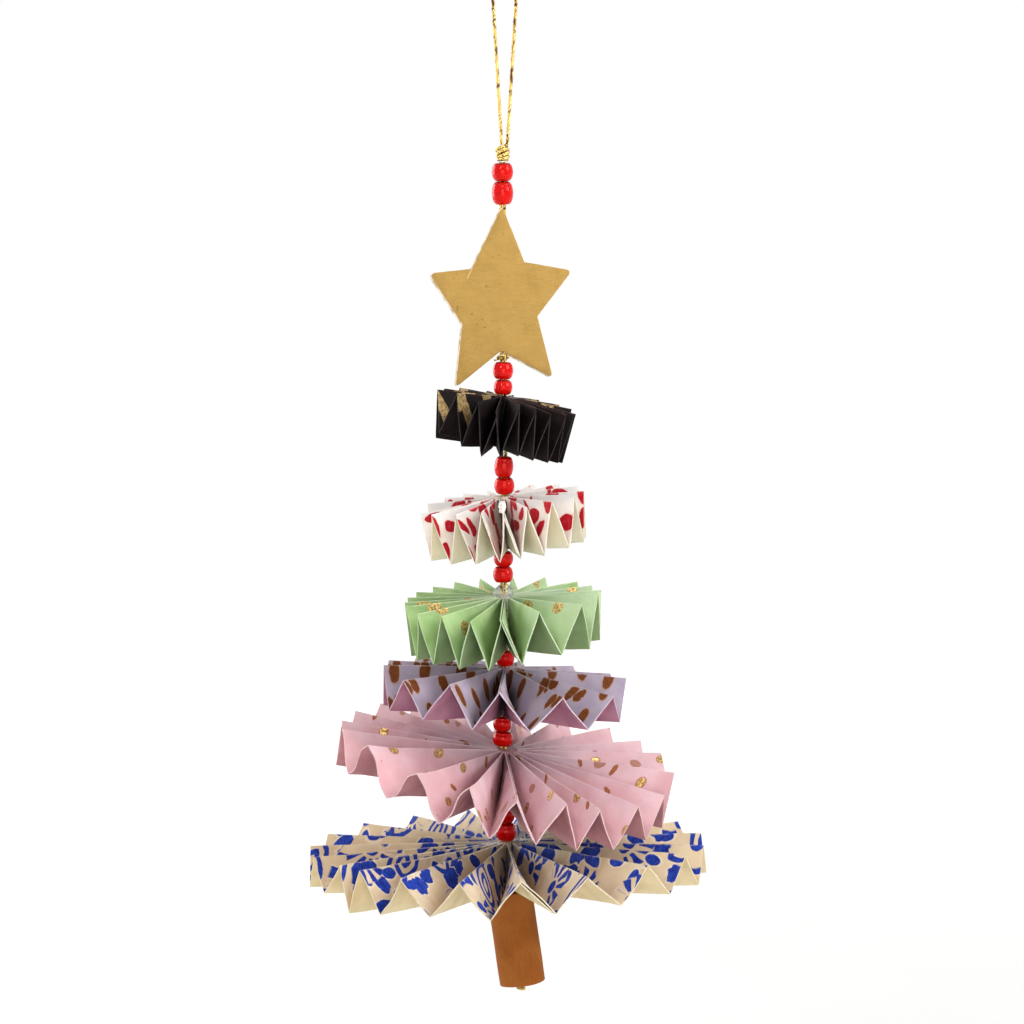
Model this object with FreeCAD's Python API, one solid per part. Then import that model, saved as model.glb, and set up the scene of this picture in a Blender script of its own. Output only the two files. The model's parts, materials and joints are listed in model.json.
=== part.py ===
"""Hanging tree of folded paper fans, strung on a doubled metallic cord.

From the top: a hanging loop and its knot, two glass beads, a card star, then six
round fans of pleated paper that grow toward the bottom, with glass beads between
them, and a rolled paper trunk held up by the end knot.  Each fan is one strip,
folded to and fro and closed into a ring.  Its pleats stand on edge at the cord
and open out to a zigzag at the rim.  A core of clear glue holds it to the cord.

Frame: the origin is at the top of the hanging loop, +Z is up, and the face of
the star looks along -Y.  Azimuths are in degrees round the cord, 0 at the front
(-Y) and 90 at the right (+X).  Everything is in millimetres.
"""
import FreeCAD, Part
import os
from math import atan2, cos, degrees, hypot, pi, radians, sin, sqrt, tan
from FreeCAD import Placement, Rotation, Vector

# ---- cord ------------------------------------------------------------------
CORD = 0.7                 # diameter of one strand
STRAND_GAP = 0.02          # between the two strands where they run side by side
CORD_FIT = 0.12            # clearance of a channel pressed or cast round the cord
LOOP_CENTRE = 0.3          # sideways place of the hanging loop
LOOP_BEND = 2.5            # radius of the round top of the loop
LOOP_FOOT = 0.53           # half the spread of the strands where they meet the knot

STRANDS = 2 * CORD + STRAND_GAP     # width of the doubled cord

# ---- knots: how far the turns stand out beside the doubled cord -------------
LOOP_LENGTH = 35.4         # from the top of the loop to the top knot
TOP_KNOT = dict(height=3.2, width=STRANDS + 1.38, turns=2, core=STRANDS + 0.78)
STAR_KNOT = dict(height=1.1, width=STRANDS + 0.68, turns=1, core=STRANDS + 0.13)
END_KNOT = dict(height=2.0, width=STRANDS + 1.28, turns=2, core=STRANDS + 0.58)
TOP_KNOT_SHIFT = 0.1       # the top knot sits to one side of the cord
END_KNOT_SHIFT = -0.3
KNOT_SEAT = 0.08           # between a knot and what rests on it

# the doubled cord, from the top knot down: (sideways, height)
THREAD = [(-0.1, -LOOP_LENGTH - TOP_KNOT["height"] - KNOT_SEAT), (0.05, -92.0),
          (0.35, -104.0), (0.0, -117.0), (0.45, -132.0), (-0.15, -146.0), (0.4, -163.0)]
THREAD_FOOT = 1.15         # sideways place where it enters the trunk

# ---- glass beads -----------------------------------------------------------
BEAD_PLAY = 0.38           # of the doubled cord in the bore
BEAD_BORE = STRANDS + BEAD_PLAY
BEAD_LIP = 0.2             # flat rim round the bore
BEAD_FULLNESS = 0.7        # 1 is an ellipse, less has squarer shoulders

# ---- star: two layers of card, face to face round the cord ------------------
CARD = 0.6                 # thickness of one layer
STAR_TIP_FLAT = 0.8        # width left on each cut tip
STAR_SLIP = (-0.35, -0.2)  # how far the back layer was laid out of line
NOTCH_FALL = 0.95          # how steeply the legs fall away on each side of the lower notch
# arms and notches in turn from the top, clockwise: (azimuth, length), centre below the top
STAR_CENTRE_DROP = 18.0
STAR_OUTLINE = [(0, 18.4), (28, 8.8), (65, 14.6), (111, 7.1), (146, 17.2),
                (181, 9.0), (209, 18.4), (242, 8.6), (292, 15.0), (318, 8.7)]

# ---- paper fans ------------------------------------------------------------
PAPER = 0.22
FOLD_GAP = 0.12            # daylight between neighbouring creases at the hub
HUB_MIN = 1.6              # smallest hole that the inner edges are gathered round
GLUE_FIT = 0.06            # between the glue core and the inner edges of the pleats
GLUE_SLACK = 0.17          # between the cord and the glue cast round it

# depth: width of one pleat, which is the height of the fan at the cord
# roll: right side down;  pitch: front down;  droop: rim below the hub all round
# tuck: how far the lower creases sit in from the rim
# folds: azimuth of each upper crease at the rim;  lift: {fold: how much higher}
# strips: lengths in which a twisted pleat is made from flats
FANS = {
    "fan_black": dict(
        radius=13.4, depth=9.6, roll=9.5, pitch=2, droop=3, tuck=0.4,
        folds=[-91, -45, -23, -6, 11, 25, 40, 59, 75, 90, 110, 130, 152, 174, 198, 224,
               245],
        strips=2,
        lift={0: -0.2, 1: 0.8, 2: 0.2, 3: -1.1, 4: 1.0, 5: 0.7, 8: -0.1, 9: -0.4, 16: -0.3}),
    "fan_white": dict(
        radius=15.8, depth=10.0, roll=-7.5, pitch=3.5, droop=2, tuck=0.2,
        folds=[-57, -33, -14, 1, 18, 37, 61, 86, 110, 134, 156, 172, 191, 208, 224, 246,
               269],
        strips=2,
        lift={0: 0.2, 1: 0.2, 2: 0.4, 3: 0.5, 4: 0.2, 5: 0.2, 6: 0.3, 7: -0.3, 16: -0.9}),
    "fan_green": dict(
        radius=19.0, depth=10.2, roll=-2.5, pitch=6.5, droop=2, tuck=0.5,
        folds=[-79, -59, -38, -19, -1, 21, 51, 72, 98, 116, 131, 154, 174, 194, 210, 226,
               242, 256, 266],
        strips=2,
        lift={0: 0.2, 1: 0.2, 2: 0.6, 3: 0.2, 4: 0.5, 5: 1.4, 6: 1.0, 7: 1.5, 8: 0.3, 18: -0.2}),
    "fan_lilac": dict(
        radius=23.4, depth=9.2, roll=4, pitch=0, droop=3.5, tuck=0,
        folds=[-55, -26, -2, 28, 62, 94, 118, 145, 172, 200, 228, 255, 276],
        strips=3,
        lift={0: -0.6, 1: 0.4, 2: 0.2, 3: -0.5, 4: -1.2, 5: 0.7, 11: 0.4, 12: 0.6}),
    "fan_pink": dict(
        radius=32.4, depth=9.3, roll=8, pitch=7, droop=0, tuck=0.3,
        folds=[-54, -30, -11, 5, 21, 34, 51, 70, 82, 112, 126, 142, 160, 178, 196, 214,
               232, 248, 263, 282],
        strips=3,
        lift={0: 2.1, 1: 0.6, 2: 0.8, 3: -0.3, 5: -1.2, 6: -1.6, 7: -1.5, 8: 1.3, 19: 1.2}),
    "fan_cream": dict(
        radius=38.0, depth=8.9, roll=-1.5, pitch=0, droop=0.5, tuck=-0.2,
        folds=[-55, -46, -31, -13, 4, 23, 43, 62, 80, 99, 118, 136, 155, 174, 192, 210,
               229, 248, 267, 285],
        strips=3,
        lift={0: 0.7, 1: 0.3, 2: 0.2, 3: -0.2, 4: -0.3, 5: -0.2, 6: 0.3, 7: 0.3, 8: -0.2}),
}
GREEN_GLUE_RISE = 2.15     # clear glue standing above the green fan
GREEN_GLUE_SEAT = 0.25     # between that glue and the beads
GREEN_GLUE_WIDTH = 4.0
SEAM_LUMP = 1.5            # dried glue on the front seam of the white fan
DAB_WIDTH = 1.7            # clear glue on top of the lowest fan, beside the bead
DAB_HEIGHT = 1.6
DAB_AZIMUTH = 84
DAB_FIT = 0.08             # between that glue and the bead, and under it

# ---- trunk: paper rolled tight ---------------------------------------------
TRUNK_DIAMETER = 8.7
TRUNK_PLAY = 0.58          # of the doubled cord in the bore
TRUNK_BORE = STRANDS + TRUNK_PLAY
TRUNK_LENGTH = 18.0
TRUNK_PAPER = 0.3          # step at the free edge of the roll
TRUNK_SEAT = 0.15          # below the lowest fan
TRUNK_LEAN = 8.0           # bottom to the right
SEAM_AZIMUTH = 150         # the free edge of the roll, at the back

# ---- the string, in turn from the top knot down ------------------------------
# a bead: (space above it, height, diameter);  anything else: (space above it, name)
STRING = [
    (0.2, 3.4, 4.1), (0.1, 4.3, 4.1), (0.6, "star"),
    (STAR_KNOT["width"] / 2 * NOTCH_FALL, "knot_star"),
    (0.1, 3.3, 3.9), (0.1, 2.8, 3.6), (0.36, "fan_black"),
    (1.84, 3.9, 3.6), (0.1, 3.1, 3.9), (0.45, "fan_white"),
    (0.55, 2.8, 3.8), (0.1, 3.1, 3.9), (GREEN_GLUE_RISE + GREEN_GLUE_SEAT, "fan_green"),
    (0.5, 2.9, 3.6), (0.3, "fan_lilac"),
    (0.3, 2.8, 3.6), (0.1, 2.8, 4.0), (0.5, "fan_pink"),
    (1.6, 3.5, 3.8), (0.1, 3.3, 3.9), (0.2, "fan_cream"),
]

# ---------------------------------------------------------------------------


def heights():
    """Top of everything on the string, worked out from the top down, and the beads."""
    notch = STAR_OUTLINE[5][1]      # the star is held at its lower notch
    length = {"star": STAR_CENTRE_DROP + notch, "knot_star": STAR_KNOT["height"]}
    length.update({name: spec["depth"] for name, spec in FANS.items()})
    tops, beads = {}, []
    z = -LOOP_LENGTH - TOP_KNOT["height"]
    for space, *what in STRING:
        z -= space
        if len(what) == 2:
            beads.append((z, what[0], what[1]))
            z -= what[0]
        else:
            tops[what[0]] = z
            z -= length[what[0]]
    return tops, beads


TOPS, BEADS = heights()
STAR_TOP = TOPS["star"]
for fan_name, fan_sizes in FANS.items():
    fan_sizes["hub"] = TOPS[fan_name]       # height of the upper creases at the cord

TRUNK_TOP = (TOPS["fan_cream"] - FANS["fan_cream"]["depth"] - TRUNK_SEAT
             - TRUNK_DIAMETER / 2 * sin(radians(TRUNK_LEAN)))
THREAD.append((THREAD_FOOT, TRUNK_TOP))


def thread_x(z):
    """Sideways place of the cord at height z."""
    for (x0, z0), (x1, z1) in zip(THREAD, THREAD[1:]):
        if z1 <= z <= z0:
            return x0 + (x1 - x0) * (z0 - z) / (z0 - z1)
    return THREAD[0][0] if z > THREAD[0][1] else THREAD[-1][0]


def thread_lean(z):
    """Turn about +Y, in degrees, that lays a vertical bore along the cord at z."""
    return degrees(atan2(thread_x(z + 1) - thread_x(z - 1), 2))


def around(azimuth, radius, z):
    a = radians(azimuth)
    return Vector(radius * sin(a), -radius * cos(a), z)


def rounded_path(points, report=""):
    """Straight runs joined by tangent arcs, each as large as its two runs allow."""
    edges, start = [], points[0]
    for before, corner, after in zip(points, points[1:], points[2:]):
        way_in, way_out = corner - before, after - corner
        turn = way_in.getAngle(way_out)
        cut = 0.45 * min(way_in.Length, way_out.Length)
        if report:
            print(report, "bend radius %.1f" % (cut / tan(turn / 2)))
        way_in.normalize()
        way_out.normalize()
        begin, end = corner - way_in * cut, corner + way_out * cut
        middle = (begin + end) * 0.5
        sagitta = cut * tan(turn / 4)
        to_corner = corner - middle
        to_corner.normalize()
        edges += [Part.LineSegment(start, begin).toShape(),
                  Part.Arc(begin, middle + to_corner * sagitta, end).toShape()]
        start = end
    edges.append(Part.LineSegment(start, points[-1]).toShape())
    return Part.Wire(edges)


def tube(path, diameter, name):
    """A round cord along a path, its volume compared with section times length."""
    first = path.Edges[0]
    start, along = first.valueAt(first.FirstParameter), first.tangentAt(first.FirstParameter)
    across = Vector(0, 1, 0)
    profile = Part.makeCircle(diameter / 2)
    profile.Placement = Placement(start, Rotation(across, along.cross(across), along, "ZXY"))
    solid = path.makePipeShell([Part.Wire(profile)], True, False)
    plain = pi * diameter ** 2 / 4 * path.Length
    print(name, "length %.1f, volume %.3f of %.3f" % (path.Length, solid.Volume, plain))
    return solid


def hanging_loop():
    """One strand up from the knot, round the top and down again."""
    foot_z = -LOOP_LENGTH + KNOT_SEAT
    centre = Vector(LOOP_CENTRE, 0, -CORD / 2 - LOOP_BEND)
    rise = centre.z - foot_z
    span = hypot(rise, LOOP_FOOT)
    # the strands leave the knot tangent to the round top
    lean = atan2(LOOP_FOOT, rise) + pi / 2 - atan2(LOOP_BEND, sqrt(span ** 2 - LOOP_BEND ** 2))
    touch = Vector(LOOP_BEND * sin(lean), 0, -LOOP_BEND * cos(lean))
    right, left = centre + touch, centre + Vector(-touch.x, 0, touch.z)
    top = centre + Vector(0, 0, LOOP_BEND)
    foot_left = Vector(LOOP_CENTRE - LOOP_FOOT, 0, foot_z)
    foot_right = Vector(LOOP_CENTRE + LOOP_FOOT, 0, foot_z)
    path = Part.Wire([Part.LineSegment(foot_left, left).toShape(),
                      Part.Arc(left, top, right).toShape(),
                      Part.LineSegment(right, foot_right).toShape()])
    return tube(path, CORD, "hanging_loop")


def thread_points(shift, trunk_end):
    """Route of one strand, its sideways shift included, down the bore of the trunk."""
    points = [Vector(x + shift, 0, z) for x, z in THREAD]
    points.append(Vector(trunk_end.x + shift, 0, trunk_end.z))
    return points


def stringing_cord(trunk_end):
    """Two strands side by side, from the top knot to the end knot."""
    half = (CORD + STRAND_GAP) / 2
    strands = [tube(rounded_path(thread_points(side * half, trunk_end),
                                 "stringing_cord" if side < 0 else ""), CORD, "strand")
               for side in (-1, 1)]
    return Part.makeCompound(strands)


def cord_channel(z_low, z_high, clearance):
    """Room for both strands, between two heights, with a clearance all round."""
    wide = CORD + STRAND_GAP / 2 + clearance
    deep = CORD / 2 + clearance
    pieces = []
    for (x0, z0), (x1, z1) in zip(THREAD, THREAD[1:]):
        if z1 > z_high or z0 < z_low:
            continue
        profile = [Vector(x0 - wide, -deep, z0), Vector(x0 + wide, -deep, z0),
                   Vector(x0 + wide, deep, z0), Vector(x0 - wide, deep, z0)]
        face = Part.Face(Part.makePolygon(profile + profile[:1]))
        pieces.append(face.extrude(Vector(x1 - x0, 0, z1 - z0)))
    slot = pieces[0]
    for piece in pieces[1:]:
        slot = slot.fuse(piece)
    return slot


def knot(place, height, width, turns, core):
    """A drawn-up knot: turns of cord, one on the other, between two flat ends."""
    rope = height / turns
    swell = (width - core) / 2
    edges, z = [], 0.0
    for _ in range(turns):
        foot, head = Vector(core / 2, 0, z), Vector(core / 2, 0, z - rope)
        belly = Vector(core / 2 + swell, 0, z - rope / 2)
        edges.append(Part.Arc(foot, belly, head).toShape())
        z -= rope
    edges += [Part.LineSegment(Vector(core / 2, 0, z), Vector(0, 0, z)).toShape(),
              Part.LineSegment(Vector(0, 0, z), Vector(0, 0, 0)).toShape(),
              Part.LineSegment(Vector(0, 0, 0), Vector(core / 2, 0, 0)).toShape()]
    solid = Part.Face(Part.Wire(edges)).revolve(Vector(0, 0, 0), Vector(0, 0, 1), 360)
    solid.Placement = place
    return solid


def bead(top, height, diameter):
    """A moulded glass bead: a barrel with full shoulders and a straight bore."""
    bore, lip, belly = BEAD_BORE / 2, BEAD_BORE / 2 + BEAD_LIP, diameter / 2
    side = []
    for a in (90, 38, 0, -38, -90):
        rise, reach = sin(radians(a)), cos(radians(a))
        side.append(Vector(lip + (belly - lip) * reach ** BEAD_FULLNESS, 0,
                           height / 2 * abs(rise) ** BEAD_FULLNESS * (1 if a > 0 else -1)))
    curve = Part.BSplineCurve()
    curve.interpolate(side)
    high, low = Vector(bore, 0, height / 2), Vector(bore, 0, -height / 2)
    outline = Part.Wire([Part.LineSegment(high, side[0]).toShape(), curve.toShape(),
                         Part.LineSegment(side[-1], low).toShape(),
                         Part.LineSegment(low, high).toShape()])
    solid = Part.Face(outline).revolve(Vector(0, 0, 0), Vector(0, 0, 1), 360)
    z = top - height / 2
    solid.Placement = Placement(Vector(thread_x(z), 0, z),
                                Rotation(Vector(0, 1, 0), thread_lean(z)))
    return solid


def star_layer(shift):
    """The cut outline of one layer, its tips clipped, as a face in the plane y = 0."""
    centre = Vector(THREAD[0][0] + shift[0], 0, STAR_TOP - STAR_CENTRE_DROP + shift[1])
    corners = [centre + Vector(length * sin(radians(a)), 0, length * cos(radians(a)))
               for a, length in STAR_OUTLINE]
    outline = []
    for i, corner in enumerate(corners):
        if i % 2:
            outline.append(corner)
            continue
        for other in (corners[i - 1], corners[(i + 1) % len(corners)]):
            way = other - corner
            half_angle = (corners[i - 1] - corner).getAngle(corners[(i + 1) % 10] - corner) / 2
            way.normalize()
            outline.append(corner + way * (STAR_TIP_FLAT / 2 / sin(half_angle)))
    return Part.Face(Part.makePolygon(outline + outline[:1]))


def star():
    """Front and back layers, each pressed round its half of the cord."""
    channel = cord_channel(STAR_TOP - 40, STAR_TOP + 5, CORD_FIT)
    front = star_layer((0, 0)).extrude(Vector(0, -CARD, 0))
    back = star_layer(STAR_SLIP).extrude(Vector(0, CARD, 0))
    return front.cut(channel), back.cut(channel)


def even_share(folds):
    """Azimuths of the creases at the hub: evenly spaced, and turned to suit the rim."""
    step = 360.0 / len(folds)
    turn = sum(a - i * step for i, a in enumerate(folds)) / len(folds)
    return [turn + i * step for i in range(len(folds))]


def hub_radius(spec):
    """Hole at the middle: room for the gathered creases, and for the cord that leans in it."""
    gathered = len(spec["folds"]) * (2 * PAPER + FOLD_GAP) / (2 * pi)
    arm = spec["depth"] / 2
    z = spec["hub"] - arm
    across = arm * tan(radians(abs(spec["roll"] - thread_lean(z)))) + CORD + STRAND_GAP / 2
    through = arm * tan(radians(abs(spec["pitch"]))) + CORD / 2
    return max(HUB_MIN, gathered, hypot(across, through) + 2 * CORD_FIT)


def crease_widths(run, rise):
    """Half width and height of a crease, so that both pleats keep the paper's thickness."""
    drop = PAPER
    across = PAPER
    for _ in range(4):
        flat = run - across
        across = (PAPER * hypot(flat, rise) - drop * flat) / rise
    return across, drop


def zigzag(azimuths, radius, highs, lows, low_radius):
    """Upper and lower skins of the folded strip on one ring, as two closed polylines.

    An upper crease is two points wide on the upper skin and sharp on the lower one.
    A lower crease is the other way round.
    """
    upper, lower = [], []
    count = len(azimuths)
    for i in range(count):
        here = azimuths[i]
        ahead = azimuths[i + 1] if i + 1 < count else azimuths[0] + 360
        half = (ahead - here) / 2
        behind = (here - azimuths[i - 1]) % 360 / 2
        fall = highs[i] - lows[i]
        across, drop = crease_widths(radius * radians(min(half, behind)), fall)
        flat = degrees(across / radius)
        upper += [around(here - flat, radius, highs[i]), around(here + flat, radius, highs[i])]
        lower.append(around(here, radius, highs[i] - drop))
        across, drop = crease_widths(low_radius * radians(half), fall)
        flat = degrees(across / low_radius)
        upper.append(around(here + half, low_radius, lows[i] + drop))
        lower += [around(here + half - flat, low_radius, lows[i]),
                  around(here + half + flat, low_radius, lows[i])]
    return upper, lower


def fan(spec):
    """A strip folded to and fro and closed into a ring.

    Every pleat stands on edge at the hub and leans over at the rim, so it is
    twisted between two straight creases.  A wide fold stands less high at the rim
    than a narrow one, because the pleats are all one width.
    """
    folds, depth, radius = spec["folds"], spec["depth"], spec["radius"]
    count = len(folds)
    droop = radians(spec["droop"])
    lift = [spec["lift"].get(i, 0) for i in range(count)]
    heights = []
    for i in range(count):
        ahead = folds[i + 1] if i + 1 < count else folds[0] + 360
        half_chord = 2 * radius * sin(radians(ahead - folds[i]) / 4)
        heights.append(sqrt(depth ** 2 - half_chord ** 2))
    highs = [lift[i] - radius * sin(droop) for i in range(count)]
    lows = [(highs[i] + highs[(i + 1) % count]) / 2 - heights[i] * cos(droop)
            for i in range(count)]
    middle_height = sum(heights) / count
    low_radius = radius * cos(droop) - middle_height * sin(droop) - spec["tuck"]
    rim = zigzag(folds, radius * cos(droop), highs, lows, low_radius)
    hole = hub_radius(spec)
    hub = zigzag(even_share(folds), hole, [0] * count, [-depth] * count, hole)

    rings = [[between(near, far, step / spec["strips"])
              for near, far in zip(hub, rim)] for step in range(spec["strips"] + 1)]
    faces = []
    for inner, outer in zip(rings, rings[1:]):
        for skin in (0, 1):
            faces += band(inner[skin], outer[skin])
    for upper, lower in (rings[0], rings[-1]):
        faces += cut_edge(upper, lower)
    shell = Part.makeShell(faces)
    shell.sewShape()
    solid = Part.makeSolid(shell)
    if solid.Volume < 0:
        solid.reverse()
    solid.Placement = fan_placement(spec)
    return solid


def between(near, far, share):
    """The ring that lies a given share of the way out, along the straight creases."""
    return [a + (b - a) * share for a, b in zip(near, far)]


def flat(*corners):
    return Part.Face(Part.makePolygon(list(corners) + [corners[0]]))


def band(inner, outer):
    """One skin between two rings.  A pleat is twisted, so each piece is two flats."""
    faces = []
    for i in range(len(inner)):
        a, b = inner[i], inner[(i + 1) % len(inner)]
        c, d = outer[(i + 1) % len(inner)], outer[i]
        if i % 3 == 2:
            faces += [flat(a, b, d), flat(b, c, d)]
        else:
            faces += [flat(a, b, c), flat(a, c, d)]
    return faces


def cut_edge(upper, lower):
    """The cut edge of the paper, where the strip ends at the hub or at the rim."""
    faces = []
    count = len(upper)
    for i in range(0, count, 3):
        left, right, valley = upper[i:i + 3]
        ridge, foot_left, foot_right = lower[i:i + 3]
        next_left, next_ridge = upper[(i + 3) % count], lower[(i + 3) % count]
        faces += [flat(left, ridge, right), flat(right, ridge, foot_left),
                  flat(right, foot_left, valley), flat(valley, foot_left, foot_right),
                  flat(valley, foot_right, next_ridge), flat(valley, next_ridge, next_left)]
    return faces


def fan_turn(spec):
    roll, pitch = Rotation(Vector(0, 1, 0), spec["roll"]), Rotation(Vector(1, 0, 0), spec["pitch"])
    return roll.multiply(pitch)


def fan_placement(spec):
    """The fan leans about the point of the cord that is halfway down its hub."""
    turn = fan_turn(spec)
    arm = turn.multVec(Vector(0, 0, spec["depth"] / 2))
    z = spec["hub"] - spec["depth"] / 2
    return Placement(Vector(thread_x(z), 0, z) + arm, turn)


def glue_core(spec, rise=0.0, width=0.0):
    """Clear glue cast between the cord and the inner edges of the pleats."""
    hole = hub_radius(spec) - GLUE_FIT
    core = Part.makeCylinder(hole, spec["depth"], Vector(0, 0, -spec["depth"]))
    if rise:
        dome = Part.makeCone(width / 2, width * 0.36, rise, Vector(0, 0, GLUE_FIT))
        core = core.fuse(Part.makeCylinder(hole, GLUE_FIT * 2)).fuse(dome)
    core.Placement = fan_placement(spec)
    z = spec["hub"]
    channel = cord_channel(z - spec["depth"] - 8, z + 8, GLUE_SLACK)
    return core.cut(channel)


def seam_lump(spec):
    """A bead of dried white glue on the upper crease at the front seam."""
    seam = min(range(len(spec["folds"])), key=lambda i: abs(spec["folds"][i]))
    droop = radians(spec["droop"])
    radius = spec["radius"] * cos(droop) - SEAM_LUMP * 0.4
    height = spec["lift"].get(seam, 0) - spec["radius"] * sin(droop)
    at = around(spec["folds"][seam], radius, height + SEAM_LUMP / 2 + 0.05)
    lump = Part.makeSphere(SEAM_LUMP / 2)
    lump.Placement = Placement(fan_placement(spec).multVec(at), Rotation())
    return lump


def glue_dab(spec, bead_top, bead_height, bead_diameter):
    """Clear glue that stands on the pleats beside the bead that rests there."""
    z = bead_top - bead_height / 2
    reach = bead_diameter / 2 + DAB_FIT + DAB_WIDTH / 2 + thread_x(z) - thread_x(spec["hub"])
    foot = fan_placement(spec).multVec(around(DAB_AZIMUTH, reach, DAB_FIT))
    waist, crown = DAB_WIDTH / 2, DAB_WIDTH * 0.24
    cone = Part.makeCone(waist, crown, DAB_HEIGHT - crown * 0.5)
    cap = Part.makeSphere(crown * 1.15, Vector(0, 0, DAB_HEIGHT - crown * 1.15))
    dab = cone.fuse(cap)
    dab.Placement = Placement(foot, Rotation())
    return dab


def trunk():
    """Paper rolled round and round: the free edge stands up as a step down one side."""
    radius = TRUNK_DIAMETER / 2
    steps = 12
    outline = [around(SEAM_AZIMUTH + 360.0 * i / steps, radius - TRUNK_PAPER * i / steps, 0)
               for i in range(steps + 1)]
    curve = Part.BSplineCurve()
    curve.interpolate(outline)
    edge = Part.Wire([curve.toShape(), Part.LineSegment(outline[-1], outline[0]).toShape()])
    roll = Part.Face(edge).extrude(Vector(0, 0, -TRUNK_LENGTH))
    roll = roll.cut(Part.makeCylinder(TRUNK_BORE / 2, TRUNK_LENGTH + 2,
                                      Vector(0, 0, -TRUNK_LENGTH - 1)))
    lean = Rotation(Vector(0, 1, 0), -TRUNK_LEAN)
    place = Placement(Vector(THREAD_FOOT + 0.15, 0, TRUNK_TOP), lean)
    roll.Placement = place
    return roll, place.multiply(Placement(Vector(0, 0, -TRUNK_LENGTH), Rotation()))


def build():
    pieces = {}
    pieces["hanging_loop"] = hanging_loop()
    place = Placement(Vector(THREAD[0][0] + TOP_KNOT_SHIFT, 0, -LOOP_LENGTH), Rotation())
    pieces["knot_top"] = knot(place, **TOP_KNOT)
    for i, (top, height, diameter) in enumerate(BEADS):
        pieces["bead_%02d" % (i + 1)] = bead(top, height, diameter)
    pieces["star_front"], pieces["star_back"] = star()
    z = TOPS["knot_star"]
    pieces["knot_star"] = knot(Placement(Vector(thread_x(z), 0, z), Rotation()), **STAR_KNOT)
    pieces["knot_star"] = pieces["knot_star"].cut(cord_channel(z - 20, z + 40, CORD_FIT))
    for name, spec in FANS.items():
        pieces[name] = fan(spec)
        raised = name == "fan_green"
        pieces[name.replace("fan", "glue")] = glue_core(
            spec, GREEN_GLUE_RISE if raised else 0, GREEN_GLUE_WIDTH)
    pieces["seam_lump"] = seam_lump(FANS["fan_white"])
    pieces["glue_dab"] = glue_dab(FANS["fan_cream"], *BEADS[-1])
    pieces["trunk"], foot = trunk()
    trunk_end = foot.multVec(Vector(0, 0, 0))
    pieces["stringing_cord"] = stringing_cord(trunk_end)
    foot = foot.multiply(Placement(Vector(END_KNOT_SHIFT, 0, -2 * KNOT_SEAT), Rotation()))
    pieces["knot_end"] = knot(foot, **END_KNOT)
    return pieces


os.makedirs("parts", exist_ok=True)
for name, shape in build().items():
    if not shape.isValid():
        print("NOT VALID", name)
    shape.exportStep("parts/%s.step" % name)
    print("%-16s solids %d volume %.2f" % (name, len(shape.Solids), shape.Volume))
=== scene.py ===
# %% [markdown]
# # A string of folded paper fans
# This ornament hangs from a loop of gold cord.  Under the loop come a knot, glass beads,
# a card star, six round fans of pleated paper that grow toward the bottom, and a roll of
# brown paper.  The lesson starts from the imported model, which fixes every size and place,
# and then makes each piece by the steps a maker takes at the bench.

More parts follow.
